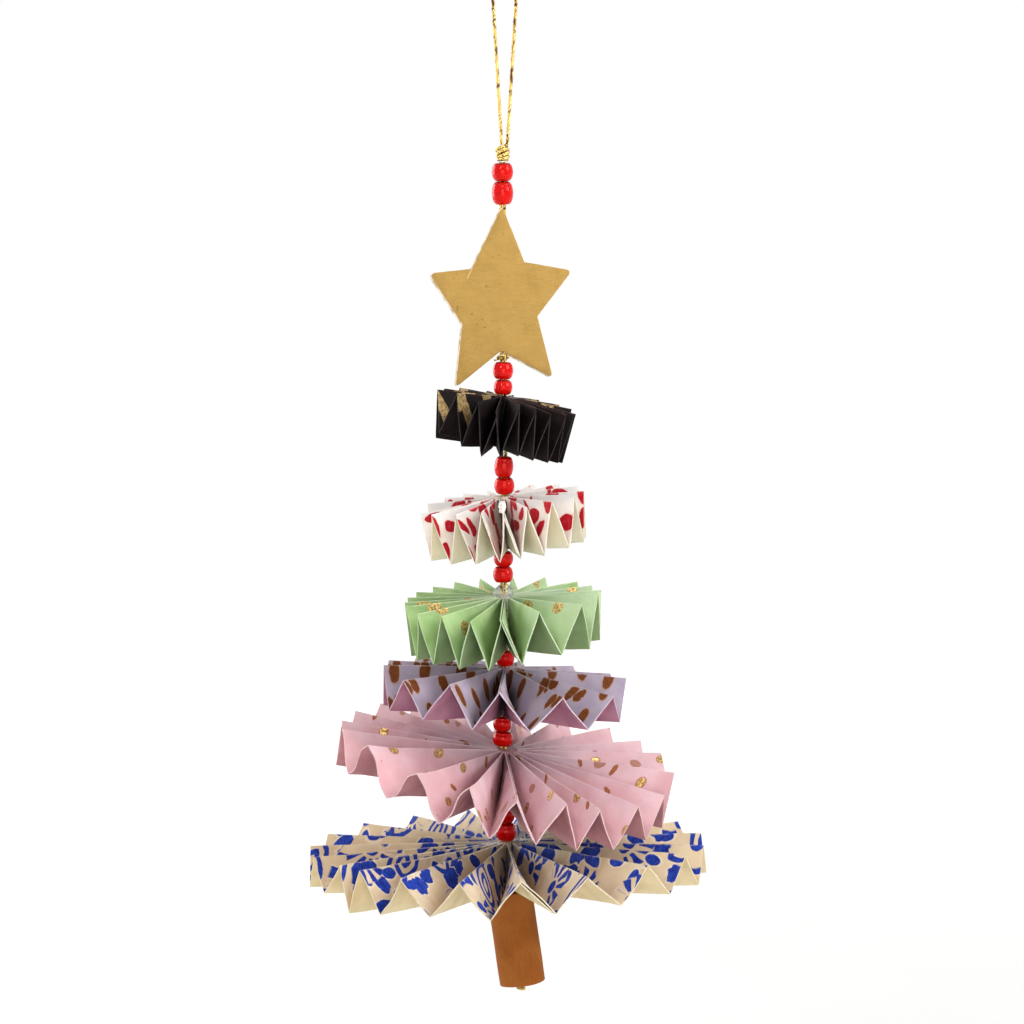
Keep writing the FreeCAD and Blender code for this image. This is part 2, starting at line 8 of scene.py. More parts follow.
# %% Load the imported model
import bpy
import bmesh
import json
import random
from math import atan2, cos, degrees, hypot, pi, radians, sin, sqrt
from mathutils import Matrix, Vector
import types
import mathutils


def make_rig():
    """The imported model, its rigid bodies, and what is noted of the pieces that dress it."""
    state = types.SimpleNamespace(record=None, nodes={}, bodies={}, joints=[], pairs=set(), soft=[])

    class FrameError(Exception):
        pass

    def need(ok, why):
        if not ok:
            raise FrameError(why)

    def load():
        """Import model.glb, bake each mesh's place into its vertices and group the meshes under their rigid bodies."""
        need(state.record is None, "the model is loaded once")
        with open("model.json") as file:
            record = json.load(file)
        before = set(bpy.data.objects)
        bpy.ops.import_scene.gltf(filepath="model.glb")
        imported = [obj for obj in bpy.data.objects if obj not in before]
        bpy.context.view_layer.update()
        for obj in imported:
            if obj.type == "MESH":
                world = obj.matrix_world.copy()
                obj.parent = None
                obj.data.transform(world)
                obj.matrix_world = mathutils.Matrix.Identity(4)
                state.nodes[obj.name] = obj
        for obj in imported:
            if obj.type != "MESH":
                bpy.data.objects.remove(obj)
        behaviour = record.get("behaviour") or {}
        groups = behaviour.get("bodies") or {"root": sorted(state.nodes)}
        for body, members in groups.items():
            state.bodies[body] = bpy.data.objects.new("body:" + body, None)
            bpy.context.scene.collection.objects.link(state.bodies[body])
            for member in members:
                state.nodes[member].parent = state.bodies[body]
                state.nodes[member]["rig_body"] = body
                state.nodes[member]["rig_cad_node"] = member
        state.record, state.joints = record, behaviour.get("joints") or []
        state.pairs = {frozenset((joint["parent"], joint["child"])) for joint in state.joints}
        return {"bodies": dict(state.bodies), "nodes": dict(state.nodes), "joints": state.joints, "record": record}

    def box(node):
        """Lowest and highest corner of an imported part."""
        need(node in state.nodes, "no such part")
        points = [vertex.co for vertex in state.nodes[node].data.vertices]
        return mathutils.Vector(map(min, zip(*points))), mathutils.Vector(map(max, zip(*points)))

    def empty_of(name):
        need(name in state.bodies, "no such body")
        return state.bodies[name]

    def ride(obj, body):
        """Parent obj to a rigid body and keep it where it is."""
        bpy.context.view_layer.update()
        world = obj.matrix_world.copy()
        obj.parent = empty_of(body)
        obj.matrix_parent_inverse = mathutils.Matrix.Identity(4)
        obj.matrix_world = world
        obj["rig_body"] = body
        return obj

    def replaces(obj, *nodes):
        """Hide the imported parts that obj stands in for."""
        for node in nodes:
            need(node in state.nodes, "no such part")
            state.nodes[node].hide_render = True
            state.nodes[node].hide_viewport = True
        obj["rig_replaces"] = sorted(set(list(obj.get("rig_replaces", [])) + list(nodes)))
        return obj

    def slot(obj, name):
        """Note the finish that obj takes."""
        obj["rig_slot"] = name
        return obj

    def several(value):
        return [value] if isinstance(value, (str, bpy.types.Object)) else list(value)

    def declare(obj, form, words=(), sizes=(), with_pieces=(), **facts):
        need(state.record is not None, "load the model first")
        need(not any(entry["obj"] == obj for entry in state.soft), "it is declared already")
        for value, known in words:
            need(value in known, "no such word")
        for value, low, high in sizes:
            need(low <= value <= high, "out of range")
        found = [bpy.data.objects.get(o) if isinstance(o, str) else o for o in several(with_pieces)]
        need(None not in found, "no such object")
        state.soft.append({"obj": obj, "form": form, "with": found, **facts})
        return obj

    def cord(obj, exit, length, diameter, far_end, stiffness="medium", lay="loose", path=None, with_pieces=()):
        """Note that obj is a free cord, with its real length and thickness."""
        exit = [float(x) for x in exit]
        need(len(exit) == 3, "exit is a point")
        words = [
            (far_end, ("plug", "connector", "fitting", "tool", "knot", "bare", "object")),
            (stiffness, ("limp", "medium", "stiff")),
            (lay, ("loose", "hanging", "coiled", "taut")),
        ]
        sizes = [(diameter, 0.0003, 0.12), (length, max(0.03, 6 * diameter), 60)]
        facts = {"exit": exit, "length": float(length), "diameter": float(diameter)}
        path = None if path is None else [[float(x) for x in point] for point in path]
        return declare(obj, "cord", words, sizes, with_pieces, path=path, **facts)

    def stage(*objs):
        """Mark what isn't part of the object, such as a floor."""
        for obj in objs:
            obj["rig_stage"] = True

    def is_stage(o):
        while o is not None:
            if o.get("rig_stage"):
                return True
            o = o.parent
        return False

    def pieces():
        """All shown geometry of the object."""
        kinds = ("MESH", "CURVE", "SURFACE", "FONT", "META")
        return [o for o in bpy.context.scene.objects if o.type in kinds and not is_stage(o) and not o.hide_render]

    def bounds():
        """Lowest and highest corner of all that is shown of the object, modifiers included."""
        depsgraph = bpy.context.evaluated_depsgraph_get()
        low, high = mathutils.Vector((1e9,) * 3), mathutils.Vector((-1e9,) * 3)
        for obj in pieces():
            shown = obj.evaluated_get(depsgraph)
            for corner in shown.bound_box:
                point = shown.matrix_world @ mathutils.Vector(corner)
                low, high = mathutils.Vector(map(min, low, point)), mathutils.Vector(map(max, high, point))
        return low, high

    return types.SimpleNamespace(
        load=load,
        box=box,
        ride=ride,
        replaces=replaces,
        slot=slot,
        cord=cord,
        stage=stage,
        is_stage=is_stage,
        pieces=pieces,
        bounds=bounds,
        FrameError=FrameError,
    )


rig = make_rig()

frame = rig.load()
cad_low, cad_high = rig.bounds()
MM = 0.001
print("CAD box in mm:", [round(v / MM, 1) for v in cad_high - cad_low])

# %% [markdown]
# ## Camera
# The ornament is long and thin, so it is looked at from a distance with a long lens,
# from a little above the middle, so that the tops of the fans show.

# %% Camera
CAMERA_PLACE = (0.00171, -0.69678, -0.03791)
CAMERA_TILT = 84.5         # 90 looks level
LENS = 129.18
bpy.ops.object.camera_add(location=CAMERA_PLACE, rotation=(radians(CAMERA_TILT), 0, 0))
camera = bpy.context.object
camera.name = "camera"
camera.data.lens = LENS
camera.data.sensor_width = 36
bpy.context.scene.camera = camera
print("camera", tuple(round(v, 4) for v in camera.location))

# %% [markdown]
# ## Finding and picking
# Blender's operators act on whatever is selected.  These helpers do what a hand does
# with the mouse: clear the selection, open one mesh for editing, and pick parts of it.

# %% Open and pick
def clear_selection():
    if bpy.context.object and bpy.context.object.mode != "OBJECT":
        bpy.ops.object.mode_set(mode="OBJECT")
    bpy.ops.object.select_all(action="DESELECT")


def activate(piece):
    clear_selection()
    piece.select_set(True)
    bpy.context.view_layer.objects.active = piece


def open_mesh(piece):
    activate(piece)
    bpy.ops.object.mode_set(mode="EDIT")


def close_mesh():
    bpy.ops.object.mode_set(mode="OBJECT")


def edit_mesh(piece):
    mesh = bmesh.from_edit_mesh(piece.data)
    for elements in (mesh.verts, mesh.edges, mesh.faces):
        elements.ensure_lookup_table()
    return mesh


def pick_all():
    bpy.ops.mesh.select_all(action="SELECT")


def pick(piece, wanted, kind="verts"):
    """Select the vertices, edges or faces for which wanted(element) is true.

    The places of the vertices that are picked come back."""
    bpy.ops.mesh.select_all(action="DESELECT")
    bpy.ops.mesh.select_mode(type={"verts": "VERT", "edges": "EDGE", "faces": "FACE"}[kind])
    mesh = edit_mesh(piece)
    for element in getattr(mesh, kind):
        if wanted(element):
            element.select_set(True)
    mesh.select_flush_mode()
    places = [v.co.copy() for v in mesh.verts if v.select]
    bmesh.update_edit_mesh(piece.data)
    return places


print("helpers for picking ready")

# %% [markdown]
# ## Shaping and finishing
# The same few moves shape most pieces.  A ring of points is added, drawn out and widened,
# cut through, and its faces are turned outward.  Each modifier is applied at once, so that
# the mesh is the finished shape.

# %% Shape
def settle(piece):
    """Put the piece's place and turn into its mesh."""
    activate(piece)
    bpy.ops.object.transform_apply(location=True, rotation=True, scale=True)


def start_ring(name, points, radius, **placing):
    """A ring of points, open for editing."""
    clear_selection()
    bpy.ops.mesh.primitive_circle_add(vertices=points, radius=radius, fill_type="NOTHING", **placing)
    ring = bpy.context.object
    ring.name = name
    settle(ring)
    open_mesh(ring)
    return ring


def move_point(piece, index, goal):
    """Take one point of the mesh to its goal."""
    start = pick(piece, lambda v: v.index == index)[0]
    bpy.ops.transform.translate(value=goal - start)


def draw_edges(offset):
    bpy.ops.mesh.extrude_edges_move(TRANSFORM_OT_translate={"value": offset})


def draw_faces(offset):
    bpy.ops.mesh.extrude_region_move(TRANSFORM_OT_translate={"value": offset})


def widen(by):
    """Scale what is selected, but not its height."""
    bpy.ops.transform.resize(value=(by, by, 1))


def cut_through(place, normal):
    pick_all()
    bpy.ops.mesh.bisect(plane_co=place, plane_no=normal)


def face_outward():
    pick_all()
    bpy.ops.mesh.normals_make_consistent(inside=False)


print("helpers for shaping ready")


# %% Modifiers, parts and finishes
def finish_with(piece, kind, **settings):
    """Put a modifier on the piece, set it, and apply it."""
    activate(piece)
    modifier = piece.modifiers.new(kind.lower(), kind)
    for key, value in settings.items():
        setattr(modifier, key, value)
    bpy.ops.object.modifier_apply(modifier=modifier.name)


def make_uneven(piece, coarse, direction, strength, **settings):
    """Push the surface about by soft noise, as handling does."""
    clouds = bpy.data.textures.new(piece.name, "CLOUDS")
    clouds.noise_scale = coarse
    finish_with(piece, "DISPLACE", texture=clouds, texture_coords="LOCAL", direction=direction,
                strength=strength, mid_level=0.5, **settings)


def smooth(piece, sharp):
    """Shade smoothly, apart from edges that turn by more than this many degrees."""
    activate(piece)
    bpy.ops.object.shade_smooth_by_angle(angle=radians(sharp))


def share(piece, node, slot):
    """The piece stands for this part of the model and goes where it goes."""
    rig.ride(piece, "root")
    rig.replaces(piece, node)
    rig.slot(piece, slot)


def coat(pieces, *finishes):
    for piece in pieces:
        piece.data.materials.clear()
        for finish in finishes:
            piece.data.materials.append(finish)


print("helpers for finishing ready")

# %% [markdown]
# ## Shader maths
# A material is a small calculation.  A wire stands for one output of a node, and adding
# or multiplying wires adds the Math nodes that do it, so a finish reads like a formula.
# Every other node comes from one method, which sets it first and then feeds it.

# %% Wires
class Wire:
    """An output in a material, on which arithmetic can be done."""

    def __init__(self, finish, socket):
        self.finish, self.socket = finish, socket

    def out(self, name):
        return Wire(self.finish, self.socket.node.outputs[name])

    def maths(self, operation, *others):
        return self.finish.maths(operation, self, *others)

    def vector(self, operation, *others, output="Vector"):
        values = dict(enumerate((self,) + others))
        return self.finish.add("VectorMath", values, operation=operation).out(output)

    def scaled(self, by):
        return self.finish.add("VectorMath", {0: self, "Scale": by}, operation="SCALE")

    def step(self, low, high):
        """0 below low, 1 above high, smooth between."""
        return self.finish.add("MapRange", {"Value": self, "From Min": low, "From Max": high},
                               interpolation_type="SMOOTHSTEP")

    def either(self, other):
        return self.maths("MAXIMUM", other)

    def __abs__(self):
        return self.maths("ABSOLUTE")

    def __add__(self, other):
        return self.maths("ADD", other)

    def __sub__(self, other):
        return self.maths("SUBTRACT", other)

    def __rsub__(self, other):
        return self.finish.maths("SUBTRACT", other, self)

    def __mul__(self, other):
        return self.maths("MULTIPLY", other)

    def __truediv__(self, other):
        return self.maths("DIVIDE", other)

    def __rtruediv__(self, other):
        return self.finish.maths("DIVIDE", other, self)

    __radd__, __rmul__ = __add__, __mul__


print("wires ready")

# %% Finishes
class Finish:
    """A material that is being written, or the world's."""

    def __init__(self, name, owner=None):
        self.material = owner or bpy.data.materials.new(name)
        self.material.use_nodes = True
        self.tree = self.material.node_tree
        self.tree.nodes.clear()

    def add(self, kind, values=None, **settings):
        """A node, its settings first, and then the values or wires of its sockets."""
        node = self.tree.nodes.new("ShaderNode" + kind)
        for key, value in settings.items():
            setattr(node, key, value)
        for key, value in (values or {}).items():
            socket = node.inputs[key]
            if isinstance(value, Wire):
                self.tree.links.new(value.socket, socket)
            elif socket.type == "RGBA":
                socket.default_value = (*value[:3], 1)
            else:
                socket.default_value = value
        return Wire(self, next((o for o in node.outputs if o.enabled), None))

    def maths(self, operation, *values):
        return self.add("Math", dict(enumerate(values)), operation=operation)

    def choose(self, factor, first, second):
        """The first number where the factor is 0, the second where it is 1."""
        return self.add("Mix", {0: factor, 2: first, 3: second})

    def blend(self, factor, first, second):
        """The first colour where the factor is 0, the second where it is 1."""
        return self.add("Mix", {0: factor, 6: first, 7: second}, data_type="RGBA")

    def coats(self, colour, *layers):
        """The colour with others laid over it, each as thick as its mask says."""
        for mask, tone in layers:
            colour = self.blend(mask, colour, tone)
        return colour

    def noise(self, place, per_mm, detail=2.0, rough=0.5, stretch=None):
        if stretch:
            place = place.vector("MULTIPLY", stretch)
        return self.add("TexNoise", {"Vector": place, "Scale": per_mm, "Detail": detail,
                                     "Roughness": rough})

    def clouded(self, place, per_mm, dark, light):
        """Two colours in soft clouds."""
        return self.blend(self.noise(place, per_mm, 3.0).step(0.3, 0.7), dark, light)

    def bump(self, height, strength, depth):
        """Depth in millimetres."""
        return self.add("Bump", {"Height": height, "Strength": strength, "Distance": depth * MM})

    def surface(self, **values):
        """The last node: one surface, its sockets named with _ for spaces."""
        shader = self.add("BsdfPrincipled", {key.replace("_", " "): value
                                             for key, value in values.items()})
        self.add("OutputMaterial", {"Surface": shader})
        return self.material

    def here(self):
        """Places on the piece, in millimetres."""
        return self.add("TexCoord").out("Object").scaled(1 / MM)


print("finishes ready")


# %% Places in a pattern
class Place:
    """A place, measured from the middle of a motif, with the motif's own chance numbers."""

    def __init__(self, f, seen_from, chance=None, axes="XY"):
        parts = f.add("SeparateXYZ", {0: seen_from})
        self.x, self.y = parts.out(axes[0]), parts.out(axes[1])
        if chance:
            self.one, self.two = chance.out("Green"), chance.out("Blue")

    def oval(self, half_wide, half_long, at=(0, 0), taper=0.0):
        """0 in the middle of an oval, 1 on its outline."""
        x, y = (self.x - at[0]) / half_wide, (self.y - at[1]) / half_long
        if taper:
            x = x * (1 + y * taper)
        return (x * x + y * y).maths("SQRT")

    def polar(self):
        """Distance from the middle, and angle from 0 to 1."""
        reach = (self.x * self.x + self.y * self.y).maths("SQRT")
        return reach, self.y.maths("ARCTAN2", self.x) / (2 * pi) + 0.5


print("shader maths ready")

# %% [markdown]
# ## Gold cord
# Gift cord is three strands of foil laid round each other.  The route of a cord is a
# smooth line through a few listed points.  The strands wind round that line, so
# the twist shows as slanting glints, which a smooth tube with a pattern doesn't give.

# %% A cord from listed points
CORD = 0.7                 # thickness of the whole cord, in millimetres
LAY = 2.3                  # length in which a strand goes once round
STRANDS = 3
STRAND_SHARE = 0.47        # thickness of a strand, as a share of the cord's
STEPS = 9                  # points in one turn of a strand


def new_curve(name):
    curve = bpy.data.curves.new(name, "CURVE")
    curve.dimensions = "3D"
    holder = bpy.data.objects.new(name, curve)
    bpy.context.collection.objects.link(holder)
    return holder, curve


def smooth_line(points, detail=8):
    """The smooth line that the given points guide, as points close together."""
    holder, curve = new_curve("route")
    curve.resolution_u = detail
    spline = curve.splines.new("NURBS")
    spline.points.add(len(points) - 1)
    for point, place in zip(spline.points, points):
        point.co = (*(v * MM for v in place), 1)
    spline.order_u = 3
    spline.use_endpoint_u = True
    bpy.context.view_layer.update()
    line = bpy.data.meshes.new_from_object(holder)
    places = [v.co.copy() for v in line.vertices]
    bpy.data.objects.remove(holder)
    bpy.data.meshes.remove(line)
    return places


def even_steps(places, step):
    """The same line with its points a step apart."""
    out, left = [places[0].copy()], step
    for a, b in zip(places, places[1:]):
        gone, length = 0.0, (b - a).length
        while length - gone >= left:
            gone += left
            out.append(a.lerp(b, gone / length))
            left = step
        left -= length - gone
    return out + [places[-1].copy()]


print("a cord is", CORD, "mm thick with a lay of", LAY, "mm")

# %% Lay the strands
def lay_cord(name, places, thickness=CORD, lay=LAY):
    """Three strands wound round a line, as one mesh, and the points of the line."""
    clear_selection()
    line = even_steps(places, lay * MM / STEPS)
    strand = thickness * MM / 2 * STRAND_SHARE
    arm = thickness * MM / 2 - strand
    cord, curve = new_curve(name)
    curve.bevel_depth, curve.bevel_resolution = strand, 1
    curve.use_fill_caps = True
    anywhere = Vector((0.13, 1, 0.07))
    side = (line[1] - line[0]).cross(anywhere).normalized()
    winds = []
    for i, spot in enumerate(line):
        along = (line[min(i + 1, len(line) - 1)] - line[max(i - 1, 0)]).normalized()
        side = (side - along * side.dot(along)).normalized()
        winds.append((spot, side.copy(), along.cross(side)))
    for k in range(STRANDS):
        spline = curve.splines.new("POLY")
        spline.points.add(len(line) - 1)
        for i, (spot, u, v) in enumerate(winds):
            turn = 2 * pi * (i / STEPS + k / STRANDS)
            spline.points[i].co = (*(spot + arm * (cos(turn) * u + sin(turn) * v)), 1)
    activate(cord)
    bpy.ops.object.convert(target="MESH")
    smooth(cord, 60)
    return bpy.context.object, line


print("a strand has", round(LAY / STEPS, 2), "mm between its points")

# %% [markdown]
# ## The hanging loop
# The loop is one length of cord that goes up from the top knot, round whatever holds it,
# and down again.  It hangs almost straight, because the ornament pulls on it, and
# the two strands come together at the knot.

# %% Hanging loop
loop_route = [(-0.23, 0, -35.32), (-1.94, 0, -7.2), (-2.30, 0, -2.4), (-1.55, 0, -0.35),
              (2.15, 0, -0.35), (2.90, 0, -2.4), (2.54, 0, -7.2), (0.83, 0, -35.32)]
loop, loop_line = lay_cord("cord_loop", smooth_line(loop_route, 16))
share(loop, "hanging_loop", slot="gold_cord")
loop_length = sum((b - a).length for a, b in zip(loop_line, loop_line[1:]))
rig.cord(loop, exit=loop_line[0], length=0.0729, diameter=CORD * MM, far_end="object",
        stiffness="limp", lay="hanging", path=loop_line)
print("loop", round(loop_length / MM, 1), "mm of cord")

# %% [markdown]
# ## The doubled cord
# Everything else is threaded on the same cord, doubled.  It shows only where there is a
# space between pieces, and it wanders a little from side to side where the pieces push it.

# %% Doubled cord
# places of the cord: sideways and up, in millimetres
THREAD = [(-0.1, -38.68), (0.05, -92.0), (0.35, -104.0), (0.0, -117.0), (0.45, -132.0),
          (-0.15, -146.0), (0.4, -163.0), (1.15, -178.15)]
TRUNK_LEAN = 8.0
TRUNK_LENGTH = 18.0
trunk_top = Vector((1.3, 0, -178.155))
trunk_end = trunk_top + TRUNK_LENGTH * Vector((sin(radians(TRUNK_LEAN)), 0, -cos(radians(TRUNK_LEAN))))


def thread_x(z):
    """Sideways place of the cord at a height."""
    for (x0, z0), (x1, z1) in zip(THREAD, THREAD[1:]):
        if z1 <= z <= z0:
            return x0 + (x1 - x0) * (z0 - z) / (z0 - z1)
    return THREAD[0][0] if z > THREAD[0][1] else THREAD[-1][0]


strands = []
for side in (-0.36, 0.36):
    route = [(x + side, 0, z) for x, z in THREAD] + [(trunk_end.x + side, 0, trunk_end.z)]
    strands.append(lay_cord("cord_strand", smooth_line(route))[0])
activate(strands[0])
strands[1].select_set(True)
bpy.ops.object.join()
stringing = bpy.context.object
stringing.name = "cord_doubled"
share(stringing, "stringing_cord", slot="gold_cord")
print("doubled cord,", len(stringing.data.polygons), "faces")

# %% [markdown]
# ## Knots
# A drawn-up knot is only the cord itself, wound over its own strands.  Each knot follows a
# few listed turns: a place round the knot, a distance from its middle and a height.
# The turns cross each other and differ in size, because a tidy coil would look machined.

# %% Knots
def tie_knot(name, node, middle, turns, lean=0.0, thickness=CORD):
    """The cord is wound tighter in a knot, so its lay is shorter."""
    tilt = Matrix.Rotation(radians(-lean), 3, "Y")
    route = []
    for azimuth, reach, rise in turns:
        a = radians(azimuth)
        route.append(tilt @ Vector((reach * sin(a), -reach * cos(a), rise)) + Vector(middle))
    knot = lay_cord(name, smooth_line(route), thickness, LAY * 0.8)[0]
    share(knot, node, slot="gold_cord")
    return knot


top_turns = [(110, 0.5, 1.5), (70, 0.95, 1.45), (10, 1.0, 1.3), (310, 1.15, 1.0),
             (270, 1.3, 0.55), (230, 1.2, 0.15), (170, 1.1, 0.2), (110, 1.05, 0.55),
             (60, 1.05, 0.85), (10, 1.2, 0.75), (325, 1.3, 0.3), (280, 1.2, -0.15),
             (220, 1.05, -0.1), (150, 1.0, 0.35), (90, 1.05, 0.3), (45, 1.25, 0.05),
             (0, 1.3, -0.35), (310, 1.15, -0.65), (250, 1.05, -0.6), (180, 1.0, -0.5),
             (110, 1.1, -0.45), (50, 1.25, -0.75), (350, 1.15, -1.0), (290, 1.0, -1.2),
             (220, 1.0, -1.2), (150, 1.0, -1.1), (80, 1.0, -1.2), (20, 0.6, -1.3)]
star_turns = [(285, 1.75, -0.45), (295, 1.4, -0.3), (315, 1.15, -0.1), (345, 1.0, -0.3),
              (20, 0.95, -0.25), (35, 1.0, 0.1), (0, 1.0, 0.2), (325, 1.05, -0.05),
              (290, 1.1, -0.1), (255, 0.95, 0.1), (190, 0.85, 0.1), (120, 0.9, -0.05),
              (75, 1.15, 0.05), (45, 1.3, 0.35), (15, 1.1, 0.62), (340, 1.1, 0.60),
              (310, 1.2, 0.35), (280, 1.15, 0.05), (240, 0.9, -0.2), (180, 0.8, -0.3),
              (120, 0.8, -0.3)]
end_turns = [(200, 0.3, 0.75), (240, 0.7, 0.75), (300, 0.85, 0.6), (0, 0.85, 0.45),
             (60, 0.85, 0.25), (120, 0.8, 0.4), (180, 0.8, 0.15), (240, 0.8, -0.05),
             (300, 0.8, 0.1), (0, 0.8, -0.15), (60, 0.75, -0.3), (120, 0.7, -0.25),
             (180, 0.3, -0.2)]
star_knot_z = -75.65
knots = [
    tie_knot("knot_over_beads", "knot_top", (0.0, 0, -37.0), top_turns),
    tie_knot("knot_under_star", "knot_star", (thread_x(star_knot_z), 0, star_knot_z), star_turns,
             thickness=0.42),
    tie_knot("knot_under_trunk", "knot_end", trunk_end + Vector((-0.3, 0, -1.2)), end_turns,
             TRUNK_LEAN, 0.55)]
print(len(knots), "knots")

# %% [markdown]
# ## Foil on the cord
# The foil goes from bright gold to dull brown in small patches, with breaks
# where the film has lifted.  Both come from noise at the scale of the strands.

# %% Gold foil
def gold_foil():
    f = Finish("gold_foil_cord")
    place = f.here()
    breaks = f.noise(place, 1.2, 3.0, 0.65, stretch=(1, 1, 0.6)).step(0.40, 0.50)
    glitter = f.noise(place, 4.2, 2.0, 0.7)
    gold = f.blend(glitter.step(0.38, 0.62), (0.54, 0.34, 0.045), (0.90, 0.72, 0.28))
    return f.surface(Base_Color=f.blend(breaks, (0.115, 0.045, 0.008), gold), Metallic=0.85,
                     Roughness=0.55 - glitter * 0.3, Normal=f.bump(glitter, 0.5, 0.08))


cords = [loop, stringing] + knots
coat(cords, gold_foil())
print("foil on", len(cords), "pieces")

# %% [markdown]
# ## Glass beads
# A seed bead is a slice of glass tube that was tumbled in heat, so it is a barrel with
# soft shoulders and a hole whose rim turns in.  One bead is drawn ring by ring from the
# inside of the hole, over the outside and back through the hole.  Then it is copied and
# stretched to each of the thirteen sizes, because no two beads on a string are the same.

# %% One bead
BEAD_ACROSS, BEAD_TALL = 3.88, 3.07       # the pattern bead once it is rounded, in millimetres


def shape_bead():
    shoulder = [(0.90, 1.08), (0.95, 1.40), (1.10, 1.58), (1.40, 1.46), (1.70, 1.08), (1.90, 0.56)]
    rings = shoulder + [(1.97, 0.0)] + [(r, -z) for r, z in reversed(shoulder)]
    bead = start_ring("pattern_bead", 28, rings[0][0] * MM, location=(0, 0, rings[0][1] * MM))
    pick_all()
    for (r0, z0), (r1, z1) in zip(rings, rings[1:]):
        draw_edges((0, 0, (z1 - z0) * MM))
        widen(r1 / r0)
    rims = (rings[0][1] * MM, rings[-1][1] * MM)
    pick(bead, lambda e: any(all(abs(v.co.z - rim) < 1e-6 for v in e.verts) for rim in rims), "edges")
    bpy.ops.mesh.bridge_edge_loops()
    face_outward()
    close_mesh()
    bpy.ops.object.shade_smooth()
    finish_with(bead, "SUBSURF", levels=1, render_levels=1)
    return bead


pattern_bead = shape_bead()
print("bead of", len(pattern_bead.data.polygons), "faces")

# %% Thirteen beads
BEADS = 13
chance = random.Random(5)
beads = []
for i in range(BEADS):
    node = "bead_%02d" % (i + 1)
    low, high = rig.box(node)
    middle, size = (low + high) / 2, high - low
    activate(pattern_bead)
    bpy.ops.object.duplicate(linked=False)
    bead = bpy.context.object
    bead.name = "glass_" + node
    z = middle.z / MM
    lean = atan2(thread_x(z + 1) - thread_x(z - 1), 2)
    bead.scale = (size.x / (BEAD_ACROSS * MM), size.y / (BEAD_ACROSS * MM), size.z / (BEAD_TALL * MM))
    bead.rotation_euler = (chance.uniform(-0.07, 0.07), lean + chance.uniform(-0.06, 0.06),
                           chance.uniform(0, 6))
    bead.location = middle
    settle(bead)
    share(bead, node, slot="red_glass")
    beads.append(bead)
bpy.data.objects.remove(pattern_bead)
print(len(beads), "beads")

# %% [markdown]
# ## Red glass
# The glass is coloured right through.  Light goes in, picks up the red and comes out, and
# the surface adds a small sharp glint.  Part of the colour is in the body of the glass
# as a plain red, because cheap beads are a little cloudy.  Shade is painted into that red:
# faces that look up are a deeper red, and faces that look down stay bright.

# %% Red glass
def red_glass():
    f = Finish("red_glass")
    place = f.here()
    upward_painted_shade = Place(f, f.add("TexCoord").out("Normal"), axes="XZ").y
    streak = f.noise(place, 2.2, 2.0, stretch=(1.2, 1.2, 0.12)).step(0.50, 0.70)
    # painted shade: the upward faces of each bead are darker red, the downward ones bright
    colour = f.coats((1.0, 0.010, 0.005), (upward_painted_shade.step(-0.55, 0.0), (0.94, 0.002, 0.003)),
                     (upward_painted_shade.step(0.25, 0.85), (0.42, 0.0, 0.001)), (streak * 0.25, (0.60, 0.0, 0.001)))
    return f.surface(Base_Color=colour, Roughness=0.03 + f.noise(place, 0.7) * 0.03, IOR=1.5,
                     Transmission_Weight=0.45, Specular_Tint=(1, 0.25, 0.22),
                     Specular_IOR_Level=0.6, Normal=f.bump(f.noise(place, 1.1, 1.0), 0.02, 0.2))


coat(beads, red_glass())
print("red glass on", len(beads), "beads")

# %% [markdown]
# ## The star
# The star is cut by hand from two layers of card and glued round the cord, so its arms
# differ in length and the back layer is a little out of line.  A ring of ten points is
# pulled out into the outline, filled, cut into a grid so that it can bend, given its
# thickness and softened along the cut.

# %% Star layers
# five tips and five notches: azimuth from the top, and distance from the middle
STAR_OUTLINE = [(0, 18.4), (28, 8.8), (65, 14.6), (111, 7.1), (146, 17.2),
                (181, 9.0), (209, 18.4), (242, 8.6), (292, 15.0), (318, 8.7)]
STAR_MIDDLE = Vector((-0.1, 0, -65.2))
CARD = 0.6
RIDGE = 0.1                # how far the card stands up over the cord
ACROSS, UP = 2.1, 2.6      # spaces between the cuts


def cut_star(name, side, slip):
    """The front layer where side is -1, the back one where it is 1, glued at depth 0."""
    outer, points = side * CARD * MM, len(STAR_OUTLINE)
    star = start_ring(name, points, 10 * MM, rotation=(pi / 2, 0, 0))
    middle = STAR_MIDDLE + Vector(slip)
    for i, (azimuth, length) in enumerate(STAR_OUTLINE):
        a = radians(azimuth)
        goal = (middle + Vector((length * sin(a), 0, length * cos(a)))) * MM
        goal.y = outer
        move_point(star, (points - i) % points, goal)
    pick_all()
    bpy.ops.mesh.edge_face_add()
    pick(star, lambda v: v.index % 2 == 0)
    bpy.ops.mesh.bevel(offset=1.05 * MM, segments=2, affect="VERTICES", profile=0.5)
    for k in range(-6, 7):
        for normal in ((1, 0, 0), (0, 0, 1)):
            cut_through((middle + Vector((ACROSS * k, 0, UP * k + 1))) * MM, normal)
    for x in (-0.5, 0.5):                                    # beside the ridge
        cut_through(((STAR_MIDDLE.x + x) * MM, 0, 0), (1, 0, 0))
    face_outward()
    if sum(face.normal.y for face in edit_mesh(star).faces) * side < 0:
        bpy.ops.mesh.flip_normals()
    pick_all()
    draw_faces((0, -outer, 0))
    face_outward()
    pick(star, lambda v: (abs(v.co.x - STAR_MIDDLE.x * MM) < 0.55 * MM and abs(v.co.y - outer) < 1e-6))
    bpy.ops.transform.translate(value=(0, side * RIDGE * MM, 0))
    pick(star, lambda e: (len(e.link_faces) == 2 and e.calc_face_angle(0) > 1.2
                          and abs(sum(v.co.y for v in e.verts) / 2 - outer) < 0.25 * MM), "edges")
    bpy.ops.mesh.bevel(offset=0.09 * MM, segments=2, affect="EDGES")
    close_mesh()
    return star


